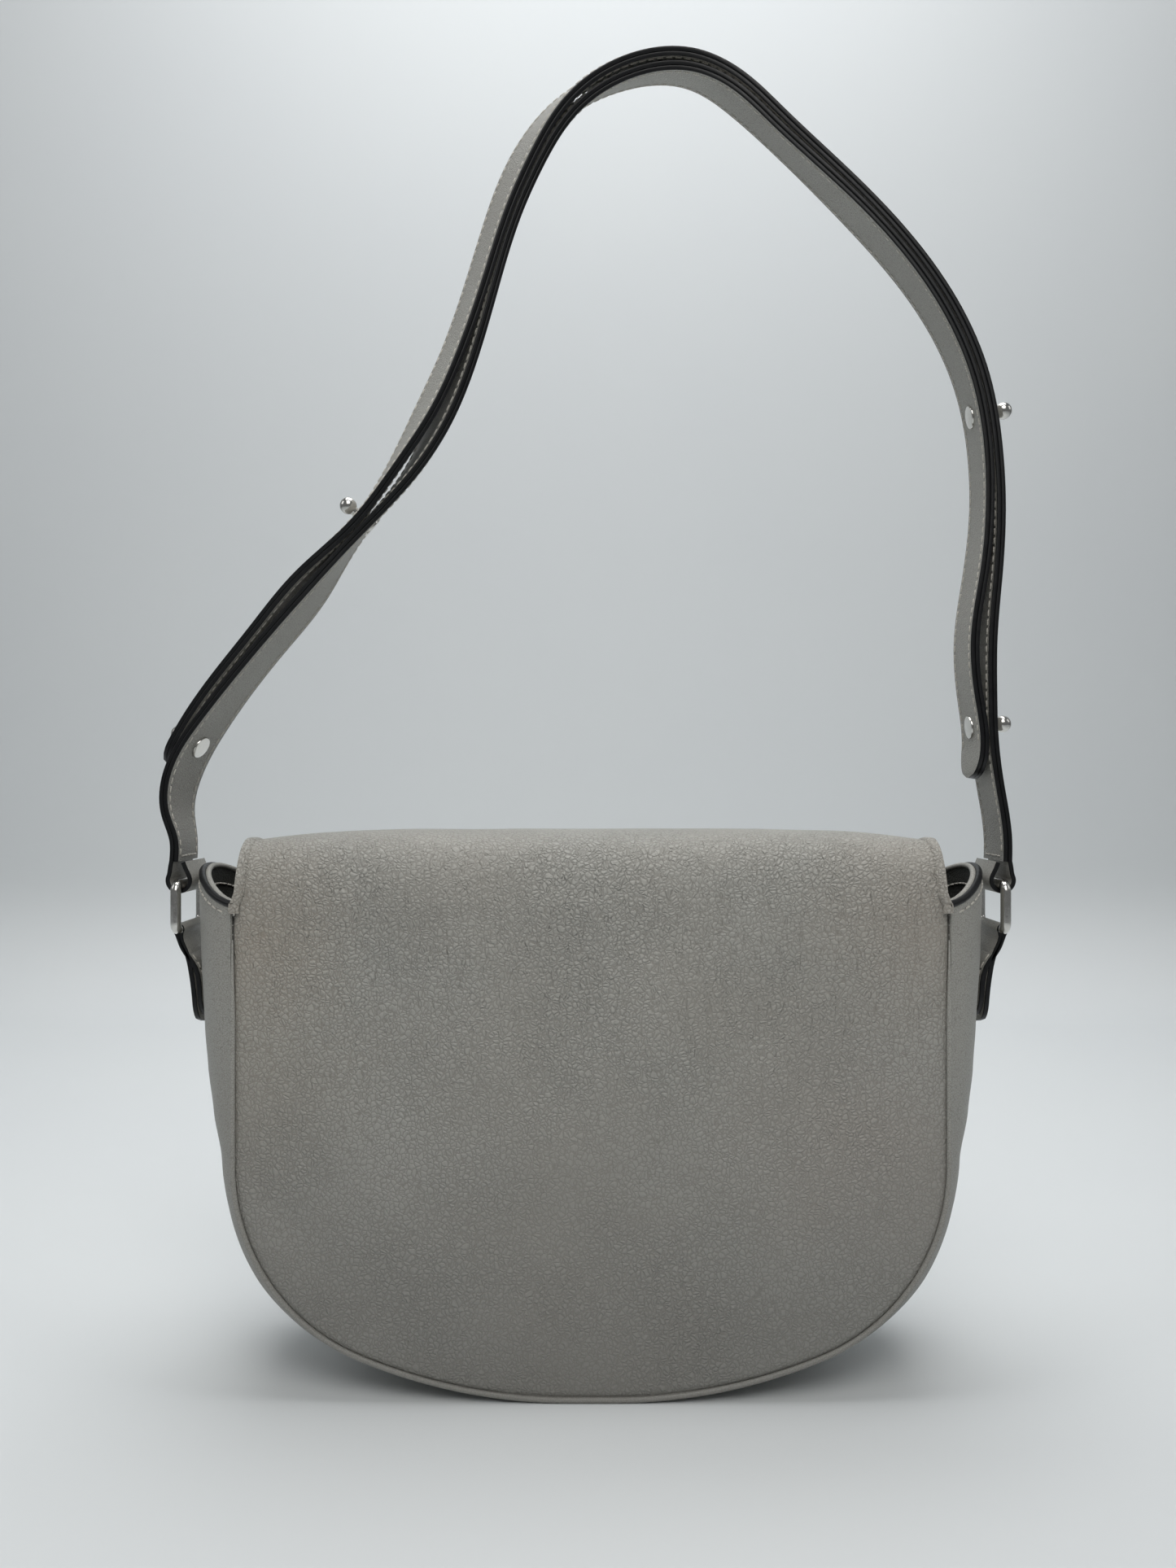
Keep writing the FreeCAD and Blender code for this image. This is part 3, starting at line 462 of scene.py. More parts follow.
def coil_material():
    """Polyamide monofilament, smooth with a dull gloss."""
    material, tree, shader, mm = new_material("coil_polyamide", Roughness=0.38, IOR=1.53)
    tone = node(tree, "ShaderNodeTexNoise", {"Scale": 0.5}, Vector=mm)
    base = blend_colours(tree, tone.outputs["Fac"], linear("3f3e3a"), tuple(colours().coil))
    tree.links.new(base, shader.inputs["Base Color"])
    return material


def paper_material():
    """Matt seamless paper, cool white."""
    material, tree, shader, mm = new_material("paper_seamless", Roughness=0.6, IOR=1.45)
    shader.inputs["Specular IOR Level"].default_value = 0.3
    tone = node(tree, "ShaderNodeTexNoise", {"Scale": 0.004, "Detail": 2.0}, Vector=mm)
    base = blend_colours(tree, ramp(tree, tone.outputs["Fac"], 0.3, 0.7, 0.0, 0.5),
                         tuple(colours().paper), linear("dcdfdf"))
    tree.links.new(base, shader.inputs["Base Color"])
    return material


def finishes():
    """Every material, made once and kept by name."""
    kept = finishes.__dict__.setdefault("kept", {})
    if not kept:
        size = sizes()
        kept.update(
            panel=leather_material("calf_leather_pebbled", size.pebble, 0.75, 1.0, 0.45),
            smooth=leather_material("calf_leather_smooth", 0.55 * size.pebble, 0.22, 0.0, 0.3),
            strap=leather_material("strap_leather_grained", size.strap_grain, 0.5, 0.0, 0.4,
                                   linear("8f8b84")),
            edge=edge_paint_material(), lining=lining_material(), thread=thread_material(),
            hole=painted_shade_hole_material(),
            nickel=nickel_material(), coil=coil_material(), paper=paper_material(),
            tape=cloth_material("zip_tape_woven", 0.5, tuple(colours().tape), linear("1e1e1b")),
            cloth=cloth_material("pocket_cotton_twill", 0.7, linear("4c4c48"), linear("2c2c29")))
    return kept


# ---------------------------------------------------------------- mesh helpers

def deselect():
    if bpy.context.object and bpy.context.object.mode != "OBJECT":
        bpy.ops.object.mode_set(mode="OBJECT")
    bpy.ops.object.select_all(action="DESELECT")


def pick(obj):
    deselect()
    obj.select_set(True)
    bpy.context.view_layer.objects.active = obj


def dress(obj, *names):
    if obj.data.materials:
        obj.data.materials.clear()
    for name in names:
        obj.data.materials.append(finishes()[name])


def sheet(name, columns, rows, place, paint=None):
    """A grid shaped by place(u, v) in millimetres, u and v from 0 to 1; paint gives slots."""
    deselect()
    bpy.ops.mesh.primitive_grid_add(x_subdivisions=columns, y_subdivisions=rows, size=1)
    obj = bpy.context.object
    obj.name = name
    if paint:
        for face in obj.data.polygons:
            face.material_index = paint(face.center.x + 0.5, face.center.y + 0.5)
    for vertex in obj.data.vertices:
        vertex.co = Vector(place(vertex.co.x + 0.5, vertex.co.y + 0.5)) * MM
    return obj


def finish_modifiers(obj):
    pick(obj)
    for modifier in list(obj.modifiers):
        bpy.ops.object.modifier_apply(modifier=modifier.name)


def thicken(obj, thickness, inner_slot=0, rim_slot=0):
    """Give a sheet its thickness behind its outer face."""
    solid = obj.modifiers.new("thickness", "SOLIDIFY")
    solid.thickness = thickness * MM
    solid.offset = -1
    solid.material_offset = inner_slot
    solid.material_offset_rim = rim_slot
    finish_modifiers(obj)


def smooth(obj, degrees=40):
    pick(obj)
    bpy.ops.object.shade_smooth_by_angle(angle=math.radians(degrees))


def weld(obj, distance=0.004, caps=False):
    """Merge doubles, close open ends and point the faces outwards."""
    pick(obj)
    bpy.ops.object.mode_set(mode="EDIT")
    bpy.ops.mesh.select_all(action="SELECT")
    bpy.ops.mesh.remove_doubles(threshold=distance * MM)
    if caps:
        bpy.ops.mesh.select_all(action="DESELECT")
        bpy.ops.mesh.select_mode(type="EDGE")
        bpy.ops.mesh.select_non_manifold()
        bpy.ops.mesh.fill_holes(sides=0)
        bpy.ops.mesh.select_all(action="SELECT")
        bpy.ops.mesh.normals_make_consistent(inside=False)
    bpy.ops.object.mode_set(mode="OBJECT")


def mesh_object(name, vertices, polygons):
    mesh = bpy.data.meshes.new(name)
    mesh.from_pydata(vertices, [], polygons)
    obj = bpy.data.objects.new(name, mesh)
    bpy.context.scene.collection.objects.link(obj)
    return obj


def settle(obj, body, slot, *replaced):
    """Let a piece ride on its body and hide the CAD nodes it replaces. The slot is not used."""
    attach(obj, body)
    if replaced:
        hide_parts(*replaced)
    return obj


def spline_through(rows, steps):
    """Natural cubic spline through rows of numbers, steps points between each two."""
    rows = np.array(rows, float)
    chord = np.hypot(*(rows[1:, :2] - rows[:-1, :2]).T)
    knots = np.concatenate([[0], np.cumsum(chord)])
    gaps = np.diff(knots)
    count = len(rows)
    system, right = np.eye(count), np.zeros_like(rows)
    for i in range(1, count - 1):
        system[i, i - 1:i + 2] = gaps[i - 1], 2 * (gaps[i - 1] + gaps[i]), gaps[i]
        right[i] = 6 * ((rows[i + 1] - rows[i]) / gaps[i] - (rows[i] - rows[i - 1]) / gaps[i - 1])
    bend = np.linalg.solve(system, right)
    made = []
    for i in range(count - 1):
        for step in range(steps + (i == count - 2)):
            b = step / steps
            a = 1 - b
            curve = ((a ** 3 - a) * bend[i] + (b ** 3 - b) * bend[i + 1]) * gaps[i] ** 2 / 6
            made.append(a * rows[i] + b * rows[i + 1] + curve)
    return np.array(made)


def evenly(points, pitch):
    """Places a pitch apart on a line of points, each with its direction."""
    points = [Vector(p) for p in points]
    places, carried = [], pitch / 2
    for first, second in zip(points, points[1:]):
        run = (second - first).length
        if run < 1e-9:
            continue
        along = (second - first) / run
        while carried <= run:
            places.append((first + along * carried, along))
            carried += pitch
        carried -= run
    return places


def stitch_row(name, seams, body, slot):
    """Stitches along seams; a seam is a line of points and the outward normal at each."""
    size = sizes()
    deselect()
    bpy.ops.mesh.primitive_uv_sphere_add(segments=6, ring_count=5, radius=1)
    pattern = bpy.context.object
    dots = np.array([v.co for v in pattern.data.vertices])
    faces = [tuple(f.vertices) for f in pattern.data.polygons]
    bpy.data.objects.remove(pattern)
    ends = np.sign(dots[:, 2]) * (np.abs(dots[:, 2]) > 0.1)
    dots[:, 2] = dots[:, 2] * size.thread + ends * (size.stitch_length / 2 - size.thread)
    vertices, polygons = [], []
    for points, normals in seams:
        seam = [Vector(p) for p in points]
        for centre, along in evenly(points, size.stitch_pitch):
            nearest = min(range(len(seam)), key=lambda i: (seam[i] - centre).length_squared)
            normal = Vector(normals[nearest])
            normal = (normal - along * normal.dot(along)).normalized()
            run = along.normalized()
            cross = run.cross(normal)
            centre = centre + normal * STITCH_LIFT
            start = len(vertices)
            for wide, long, deep in (STITCH_SHAPE, HOLE_SHAPE):
                for x, y, z in dots:
                    sink = STITCH_BOW * (2 * z / size.stitch_length) ** 2 + deep
                    place = centre + cross * (x * size.thread * wide) + run * (z * long)
                    vertices.append((place + normal * (y * size.thread - sink)) * MM)
            for shift in (0, len(dots)):
                polygons += [tuple(start + shift + i for i in face) for face in faces]
    obj = mesh_object(name, vertices, polygons)
    # Each stitch's second shell takes the painted shade of the needle hole.
    dress(obj, "thread", "hole")
    for face in obj.data.polygons:
        face.material_index = face.index // len(faces) % 2
    smooth(obj, 180)
    return settle(obj, body, slot)


def tube(name, points, radius, closed, finish, taper=None):
    """A round cord or wire along points in millimetres."""
    curve = bpy.data.curves.new(name, "CURVE")
    curve.dimensions = "3D"
    curve.bevel_depth = radius * MM
    curve.bevel_resolution = 5
    curve.use_fill_caps = True
    line = curve.splines.new("POLY")
    line.points.add(len(points) - 1)
    for i, (dot, place) in enumerate(zip(line.points, points)):
        dot.co = (*(Vector(place) * MM), 1)
        dot.radius = taper(i / (len(points) - 1)) if taper else 1
    line.use_cyclic_u = closed
    obj = bpy.data.objects.new(name, curve)
    bpy.context.scene.collection.objects.link(obj)
    pick(obj)
    bpy.ops.object.convert(target="MESH")
    obj = bpy.context.object
    weld(obj, 0.001)
    dress(obj, finish)
    smooth(obj, 60)
    return obj


# ---------------------------------------------------------------- bag shape

def between(table, place):
    for (low, first), (high, second) in zip(table, table[1:]):
        if place <= high:
            share = (place - low) / (high - low)
            share = share * share * (3 - 2 * share) * 0.4 + share * 0.6
            return first + (second - first) * share
    return table[-1][1]


def half_at(z, inset):
    """Half width of a panel at a height, its outline drawn in by inset."""
    if z >= CORNER_Z:
        return HALF_WIDTH - inset
    radius = CORNER_RADIUS - inset
    if z > CORNER_Z - radius * math.cos(ARC_TILT):
        return CORNER_X + math.sqrt(max(0, radius ** 2 - (CORNER_Z - z) ** 2))
    radius = BELLY_RADIUS - inset
    return BASE_HALF + math.sqrt(max(0, radius ** 2 - (BASE_Z + BELLY_RADIUS - z) ** 2))


def edge_gap(x, z):
    """Distance from a place on a panel to the panel's outline."""
    across = abs(x - CENTRE_X)
    if z >= CORNER_Z:
        return HALF_WIDTH - across
    away = math.hypot(across - CORNER_X, z - CORNER_Z)
    if math.atan2(across - CORNER_X, CORNER_Z - z) > ARC_TILT:
        return CORNER_RADIUS - away
    if across > BASE_HALF:
        return BELLY_RADIUS - math.hypot(across - BASE_HALF, z - BASE_Z - BELLY_RADIUS)
    return z - BASE_Z


def outline(distance, inset=0.0):
    """Right side of a panel's outline: x, z and outward normal at a distance from the fold."""
    straight = FOLD_Z - CORNER_Z
    corner = CORNER_RADIUS * (math.pi / 2 - ARC_TILT)
    belly = BELLY_RADIUS * ARC_TILT
    if distance <= straight:
        return HALF_WIDTH - inset, FOLD_Z - distance, 1.0, 0.0
    if distance <= straight + corner:
        angle = -(distance - straight) / CORNER_RADIUS
        x, z = math.cos(angle), math.sin(angle)
        return (CORNER_X + (CORNER_RADIUS - inset) * x, CORNER_Z + (CORNER_RADIUS - inset) * z,
                x, z)
    if distance <= straight + corner + belly:
        angle = ARC_TILT - math.pi / 2 - (distance - straight - corner) / BELLY_RADIUS
        x, z = math.cos(angle), math.sin(angle)
        return (BASE_HALF + (BELLY_RADIUS - inset) * x,
                BASE_Z + BELLY_RADIUS + (BELLY_RADIUS - inset) * z, x, z)
    left = distance - straight - corner - belly
    return BASE_HALF - left, BASE_Z + inset, 0.0, -1.0


HALF_LENGTH = (FOLD_Z - CORNER_Z + CORNER_RADIUS * (math.pi / 2 - ARC_TILT)
               + BELLY_RADIUS * ARC_TILT + BASE_HALF)


def crowded(u):
    """Share across from -1 to 1, with the columns closer together near both sides."""
    share = 2 * u - 1
    return 1.25 * share - 0.25 * share ** 3


def rising(share, inset):
    """Height on a panel, with the rows closer together near the base."""
    return BASE_Z + inset + (FOLD_Z - BASE_Z - inset) * (1 - math.cos(math.pi / 2 * share))


def rolled(x, z, inset):
    """1 at a panel's edge, fading to 0 where the leather lies flat."""
    return max(0.0, 1 - (edge_gap(x, z) - inset) / SEAM_ROLL)


def hill(x, z, centre_x, centre_z, wide, tall):
    return math.exp(-((x - centre_x) / wide) ** 2 - ((z - centre_z) / tall) ** 2)


def relief(x, z, seed):
    """How far a panel's leather stands proud of flat: dome, soft dents and small folds."""
    gap = edge_gap(x, z)
    share = 1 - math.exp(-max(0, gap) / 26)
    down = (FOLD_Z - z) / (FOLD_Z - BASE_Z)
    dome = sizes().fullness * share * (0.35 + 0.65 * math.sin(math.pi * min(1, down * 0.85)))
    across = x - CENTRE_X
    dents = (-2.6 * hill(across, z, -74, FOLD_Z - 55, 13, 55)
             - 2.2 * hill(across, z, 50, FOLD_Z - 50, 15, 48)
             + 1.3 * hill(across, z, -98, FOLD_Z - 50, 12, 50)
             - 1.7 * hill(across, z, 96, FOLD_Z - 70, 20, 30)
             - 2.0 * hill(across * 0.8 + (z - FOLD_Z + 118) * 0.6, z, -95, FOLD_Z - 118, 7, 24))
    slow = noise.noise(Vector((x / 55 + seed, z / 70, seed)))
    folds = noise.noise(Vector((x / 9, z / 60, seed + 4)))
    near_fold = max(0.0, 1 - down * 2.2)
    ripple = noise.noise(Vector((x / 20, z / 24, seed + 9)))
    return dome + share * (dents + 1.9 * slow + 0.9 * folds * near_fold + 0.7 * ripple)


def fullness_at(depth_share, height_share):
    return between(FULLNESS, height_share) * (1 - depth_share ** 2) ** 0.6


def flap_profile():
    """Side view of the flap: y and z from the fold over the ridge and down to the straight."""
    depth, rise = FLAP_Y - BACK_Y, RIDGE_Z - FOLD_Z
    rows = [(BACK_Y, FOLD_Z)] + [(BACK_Y + depth * a, FOLD_Z + rise * b) for a, b in FLAP_SHARES]
    rows.append((FLAP_Y, FOLD_Z - FLAP_STRAIGHT))
    return spline_through(rows, 9)


def flap_rows():
    """y, z and half width of every row of the flap, from the fold to the front edge."""
    rows = []
    for y, z in flap_profile():
        share = max(0.0, (z - FOLD_Z) / (RIDGE_Z - FOLD_Z))
        rows.append((y, z, FLAP_HALF - (FLAP_HALF - RIDGE_HALF) * share))
    side_z = FOLD_Z - FLAP_STRAIGHT
    for step in range(1, FLAP_ROWS_BELOW + 1):
        angle = math.radians(89.2) * step / FLAP_ROWS_BELOW
        z = side_z + (FLAP_TIP_Z - side_z) * math.sin(angle)
        rows.append((FLAP_Y, z, FLAP_HALF * math.cos(angle)))
    return rows


def flap_droop(share, y):
    """The ridge sinks a little towards the flap's two sides."""
    over = max(0.0, 1 - abs(y - (BACK_Y + FLAP_Y) / 2) / 44) ** 0.5
    falling = min(1.0, max(0.0, (y + 26) / 22))
    return -over * (3.4 * abs(share) ** 5 + 5.5 * falling * abs(share) ** 12)


def flap_point(row, share, lift=0.0):
    """A point on the flap: row of flap_rows, share across from -1 to 1, lift off the leather."""
    y, z, half = row
    x = CENTRE_X + share * half
    ripple = 0.35 * noise.noise(Vector((x / 26, y / 24, z / 40)))
    inside = max(0.0, 1 - abs(share) ** 8)
    away = Vector((0, y - 3, max(z, FOLD_Z) - FOLD_Z)).normalized() if y < FLAP_Y - 1 \
        else Vector((0, 1, 0))
    if y < BACK_Y + 4:
        away = Vector((0, -1, 0))
    front = 0.0
    if z < FOLD_Z and y > 0:
        down = (FOLD_Z - z) / (FOLD_Z - FLAP_TIP_Z)
        front = FLAP_BULGE * math.sin(math.pi * min(1, down)) * (1 - share ** 2)
    point = Vector((x, y, z + flap_droop(share, y)))
    return point + away * (lift + inside * (ripple + front))


# ---------------------------------------------------------------- operators

class BagOperator(bpy.types.Operator):
    bl_options = {"REGISTER", "UNDO"}

    def execute(self, context):
        self.build()
        return {"FINISHED"}


class BAG_OT_stage(BagOperator):
    """Paper table and backdrop, soft lights and the camera"""
    bl_idname = "bag.stage"
    bl_label = "Stage"

    def build(self):
        wall_y, curve, top = 830.0, 130.0, 1500.0
        floor_z = CAD_BOX[0].z / MM - 0.3

        def place(u, v):
            x = (u - 0.5) * 5200
            run = v * (wall_y + 900 + 0.5 * math.pi * curve + top)
            flat = wall_y - curve + 900
            if run < flat:
                return x, run - 900, floor_z
            turn = (run - flat) / curve
            if turn < math.pi / 2:
                return (x, wall_y - curve + curve * math.sin(turn),
                        floor_z + curve * (1 - math.cos(turn)))
            return x, wall_y, floor_z + curve + (run - flat - curve * math.pi / 2)

        paper = sheet("paper_sweep", 8, 160, place)
        dress(paper, "paper")
        smooth(paper, 60)
        lights = [("key", (-40, 260, 900), (-20, 0, -400), 900, 1.7, "f8f9fa"),
                  ("front", (20, -600, 270), (-20, -38, -290), 520, 0.85, "fbfaf8"),
                  ("left", (-1300, -250, 500), (0, 0, -300), 700, 1.3, "f8f9fa"),
                  ("right", (1300, -200, 450), (0, 0, -300), 700, 0.9, "f8f9fa"),
                  ("wall", (0, 250, 1250), (0, 800, 150), 1200, 14.5, "f8f9fa")]
        for name, at, aim, width, power, code in lights:
            deselect()
            bpy.ops.object.light_add(type="AREA", location=Vector(at) * MM)
            lamp = bpy.context.object
            lamp.name = "light_" + name
            lamp.data.shape = "SQUARE"
            lamp.data.size = width * MM
            lamp.data.energy = power
            lamp.data.color = linear(code)[:3]
            lamp.data.spread = math.radians(80 if name == "front" else 150)
            lamp.rotation_euler = (Vector(aim) - Vector(at)).to_track_quat("-Z", "Y").to_euler()
        world = bpy.context.scene.world or bpy.data.worlds.new("World")
        bpy.context.scene.world = world
        world.use_nodes = True
        world.node_tree.nodes["Background"].inputs["Color"].default_value = linear("e9ecee")
        world.node_tree.nodes["Background"].inputs["Strength"].default_value = 0.2
        bpy.context.scene.view_settings.view_transform = "Standard"
        bpy.ops.object.camera_add(location=Vector((-18.3, -493, -291)) * MM,
                                  rotation=(math.pi / 2, 0, 0))
        camera = bpy.context.object
        camera.data.sensor_width = 36
        camera.data.lens = 27.2
        camera.data.clip_start = 0.01
        bpy.context.scene.camera = camera


class BAG_OT_back_and_flap(BagOperator):
    """One skin of pebbled leather: the back panel, over the ridge, down to the flap's edge"""
    bl_idname = "bag.back_and_flap"
    bl_label = "Back and Flap"

    def build(self):
        size = sizes()
        low_rows = 84
        rows = []
        for step in range(low_rows):
            z = rising(step / low_rows, SEAM_INSET)
            rows.append((BACK_Y, z, half_at(z, SEAM_INSET)))
        rows += flap_rows()
        last = len(rows) - 1

        def place(u, v):
            share = crowded(u)
            row = rows[round(v * last)]
            if round(v * last) >= low_rows:
                point = flap_point(row, share)
                if point.y < 0:
                    near = max(0.0, 1 - (point.z - FOLD_Z) / FOLD_REACH)
                    point.y -= relief(point.x, FOLD_Z, BACK_SEED) * near ** 2
                return point
            x, z = CENTRE_X + share * row[2], row[1]
            dip = SEAM_DIP * rolled(x, z, SEAM_INSET) ** 2
            return x, BACK_Y - relief(x, z, BACK_SEED) + dip, z

        skin = sheet("back_and_flap_leather", size.columns, last, place)
        dress(skin, "panel")
        thicken(skin, size.leather)
        smooth(skin, 50)
        bend_with_flap(skin)
        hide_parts("back_panel", "flap_leather")


def bend_with_flap(obj, whole_front=True):
    """Bend a piece at the fold. The flap's front hangs below the fold and still moves wholly
    with the flap."""
    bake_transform(obj, "bag", "flap", start=(0, BACK_Y * MM, FOLD_START * MM),
             end=(0, BACK_Y * MM, FOLD_END * MM))
    if not whole_front:
        return
    weights = obj.data.attributes["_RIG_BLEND"].data
    for vertex, weight in zip(obj.data.vertices, weights):
        if vertex.co.y > 0:
            weight.value = 1.0


class BAG_OT_flap_border(BagOperator):
    """Narrow band stitched round the flap's edge, ending in a small square at each notch"""
    bl_idname = "bag.flap_border"
    bl_label = "Flap Border"

    def build(self):
        size = sizes()
        rows = flap_rows()
        route = [("tab", NOTCH_DROP * (1 - step / 8)) for step in range(8)]
        route += [("row", i) for i in range(len(rows))]
        full = [(1, item) for item in route] + [(-1, item) for item in reversed(route[:-1])]
        last = len(full) - 1

        def edge_point(hand, item, inward, lift):
            kind, value = item
            if kind == "tab":
                x = CENTRE_X + hand * (FLAP_HALF + NOTCH_OVERLAP - inward)
                return Vector((x, BACK_Y - 1.3 - lift, FOLD_Z - value))
            row = rows[value]
            spread = NOTCH_OVERLAP * max(0.0, 1 - (row[1] - FOLD_Z) / 5) if row[0] < 0 else 0.0
            if row[0] < FLAP_Y - 0.5 or row[1] > FOLD_Z - FLAP_STRAIGHT:
                share = (row[2] + spread - inward) / row[2]
                near = max(0.0, 1 - (row[1] - FOLD_Z) / FOLD_REACH) if row[0] < 0 else 0.0
                point = flap_point(row, hand * share, lift + BORDER_LIFT)
                point.y -= SEAM_DIP * near ** 2
                return point
            centre = Vector((CENTRE_X, FLAP_Y, FOLD_Z - FLAP_STRAIGHT))
            tall = FOLD_Z - FLAP_STRAIGHT - FLAP_TIP_Z
            across, down = row[2] / FLAP_HALF, -(row[1] - centre.z) / tall
            normal = Vector((across / FLAP_HALF, 0, -down / tall)).normalized()
            point = Vector((hand * row[2], 0, row[1] - centre.z))
            point -= Vector((hand * normal.x, 0, normal.z)) * inward
            share = point.x / FLAP_HALF
            fall = (FOLD_Z - row[1]) / (FOLD_Z - FLAP_TIP_Z)
            front = FLAP_BULGE * math.sin(math.pi * min(1, fall)) * (1 - share ** 2) * 0.2
            return centre + point + Vector((0, lift + BORDER_LIFT + front, 0))

        def place(u, v):
            hand, item = full[round(v * last)]
            lift = 0.42 * (1 - u ** 3) - 0.75 * u ** 6
            return edge_point(hand, item, BORDER_START + u * size.band, lift)

        band = sheet("flap_border_band", 8, last, place)
        dress(band, "panel", "edge")
        thicken(band, BORDER_PLY, 0, 1)
        smooth(band, 50)
        bend_with_flap(band)
        line = [edge_point(hand, item, BORDER_SEAM, 0.25) for hand, item in full]
        normals = []
        for point, (hand, item) in zip(line, full):
            normals.append((edge_point(hand, item, BORDER_SEAM, 1.25) - point).normalized())
        first_side, second_side, front = [], [], []
        for i, point in enumerate(line):
            if point.y >= 0 or point.z >= FOLD_END + 1:
                front.append(i)
            elif i < last / 2:
                first_side.append(i)
            else:
                second_side.append(i)

        def seam(group):
            return [line[i] for i in group], [normals[i] for i in group]

        low = stitch_row("flap_border_stitches_fold", [seam(first_side), seam(second_side)],
                         "bag", "smooth_leather")
        low.parent = None
        del low["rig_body"]
        bend_with_flap(low, False)
        stitch_row("flap_border_stitches", [seam(front)], "flap", "smooth_leather")


class BAG_OT_front_panel(BagOperator):
    """Pebbled front panel under the flap"""
    bl_idname = "bag.front_panel"
    bl_label = "Front Panel"

    def build(self):
        def place(u, v):
            z = rising(v, SEAM_INSET)
            x = CENTRE_X + crowded(1 - u) * half_at(z, SEAM_INSET)
            free = min(1.0, max(0.0, (FLAP_TIP_Z + 14 - z) / 40))
            bulge = min(relief(x, z, FRONT_SEED) * (0.25 + 0.75 * free), 1.5 + 4 * free)
            return x, FRONT_Y + bulge - SEAM_DIP * rolled(x, z, SEAM_INSET) ** 2, z

        panel = sheet("front_panel_leather", sizes().columns, 90, place)
        dress(panel, "panel")
        thicken(panel, sizes().leather)
        smooth(panel, 50)
        settle(panel, "bag", "pebbled_leather", "front_panel")


def gusset_point(inset, t, v, low_y, high_y, drop=0.0):
    """A point on the gusset: t from -1 (right mouth) to 1 (left mouth), v across the depth."""
    y = low_y + (high_y - low_y) * v
    station = max(-1.0, min(1.0, y / (FRONT_Y - 1.4)))
    rise = MOUTH_RISE * (1 - station ** 2) - drop
    hand = 1 if t < 0 else -1
    distance = (1 - abs(t)) * (HALF_LENGTH + rise) - rise
    if distance < 0:
        across, z, nx, nz = HALF_WIDTH - inset, FOLD_Z - distance, 1.0, 0.0
    else:
        across, z, nx, nz = outline(distance, inset)
    share = min(1.0, max(0.0, (FOLD_Z - z) / (FOLD_Z - BASE_Z)))
    full = fullness_at(station, share)
    slack = 0.5 * noise.noise(Vector((hand * 3 + z / 34, y / 22, inset)))
    slack *= min(1.0, share * 6) * (1 - station ** 2) * min(1.0, (1 - share) * 8)
    reach = full + slack
    return Vector((CENTRE_X + hand * (across + nx * reach), y, z + nz * reach))


class BAG_OT_gusset(BagOperator):
    """Smooth gusset round the sides and base, with its painted mouth and pale turned rim"""
    bl_idname = "bag.gusset"
    bl_label = "Gusset"

    def build(self):
        size = sizes()
        low_y, high_y = BACK_Y + 0.35, FRONT_Y - 0.35

        def place(u, v):
            return gusset_point(0.0, 2 * u - 1, v, low_y, high_y)

        skin = sheet("gusset_leather", 260, 36, place)
        dress(skin, "smooth")
        thicken(skin, size.leather + size.lining - 0.1)
        smooth(skin, 50)
        settle(skin, "bag", "smooth_leather", "gusset")

        names = {1: ("mouth_rim_right", "mouth_facing_right", "mouth_edge_right"),
                 -1: ("mouth_rim_left", "mouth_facing_left", "mouth_edge_left")}
        seams = []
        for hand, (rim_name, node_name, edge_name) in names.items():
            t = -hand
            steps = [i / 40 for i in range(41)]
            inward = Vector((-hand, 0, 0))
            edge = [gusset_point(0, t, v, low_y, high_y) + inward * 1.25 + Vector((0, 0, -0.5))
                    for v in steps]
            bead = tube(edge_name, edge, 1.45, False, "edge")
            settle(bead, "bag", "smooth_leather")
            rim = [point + inward * 2.4 + Vector((0, 0, 0.1)) for point in edge]
            band = tube(rim_name, rim, 1.15, False, "smooth")
            settle(band, "bag", "smooth_leather", node_name)
            row = [gusset_point(0, t * (1 - 4.2 / HALF_LENGTH), v, low_y, high_y)
                   for v in steps[1:-1]]
            seams.append((row, [Vector((hand, 0, 0.1))] * len(row)))
            side = [gusset_point(0, t * (1 - d / HALF_LENGTH), 0.012, low_y, high_y)
                    for d in range(1, 16)]
            seams.append((side, [Vector((hand * 0.6, -0.8, 0))] * len(side)))
        stitch_row("gusset_mouth_stitches", seams, "bag", "smooth_leather")


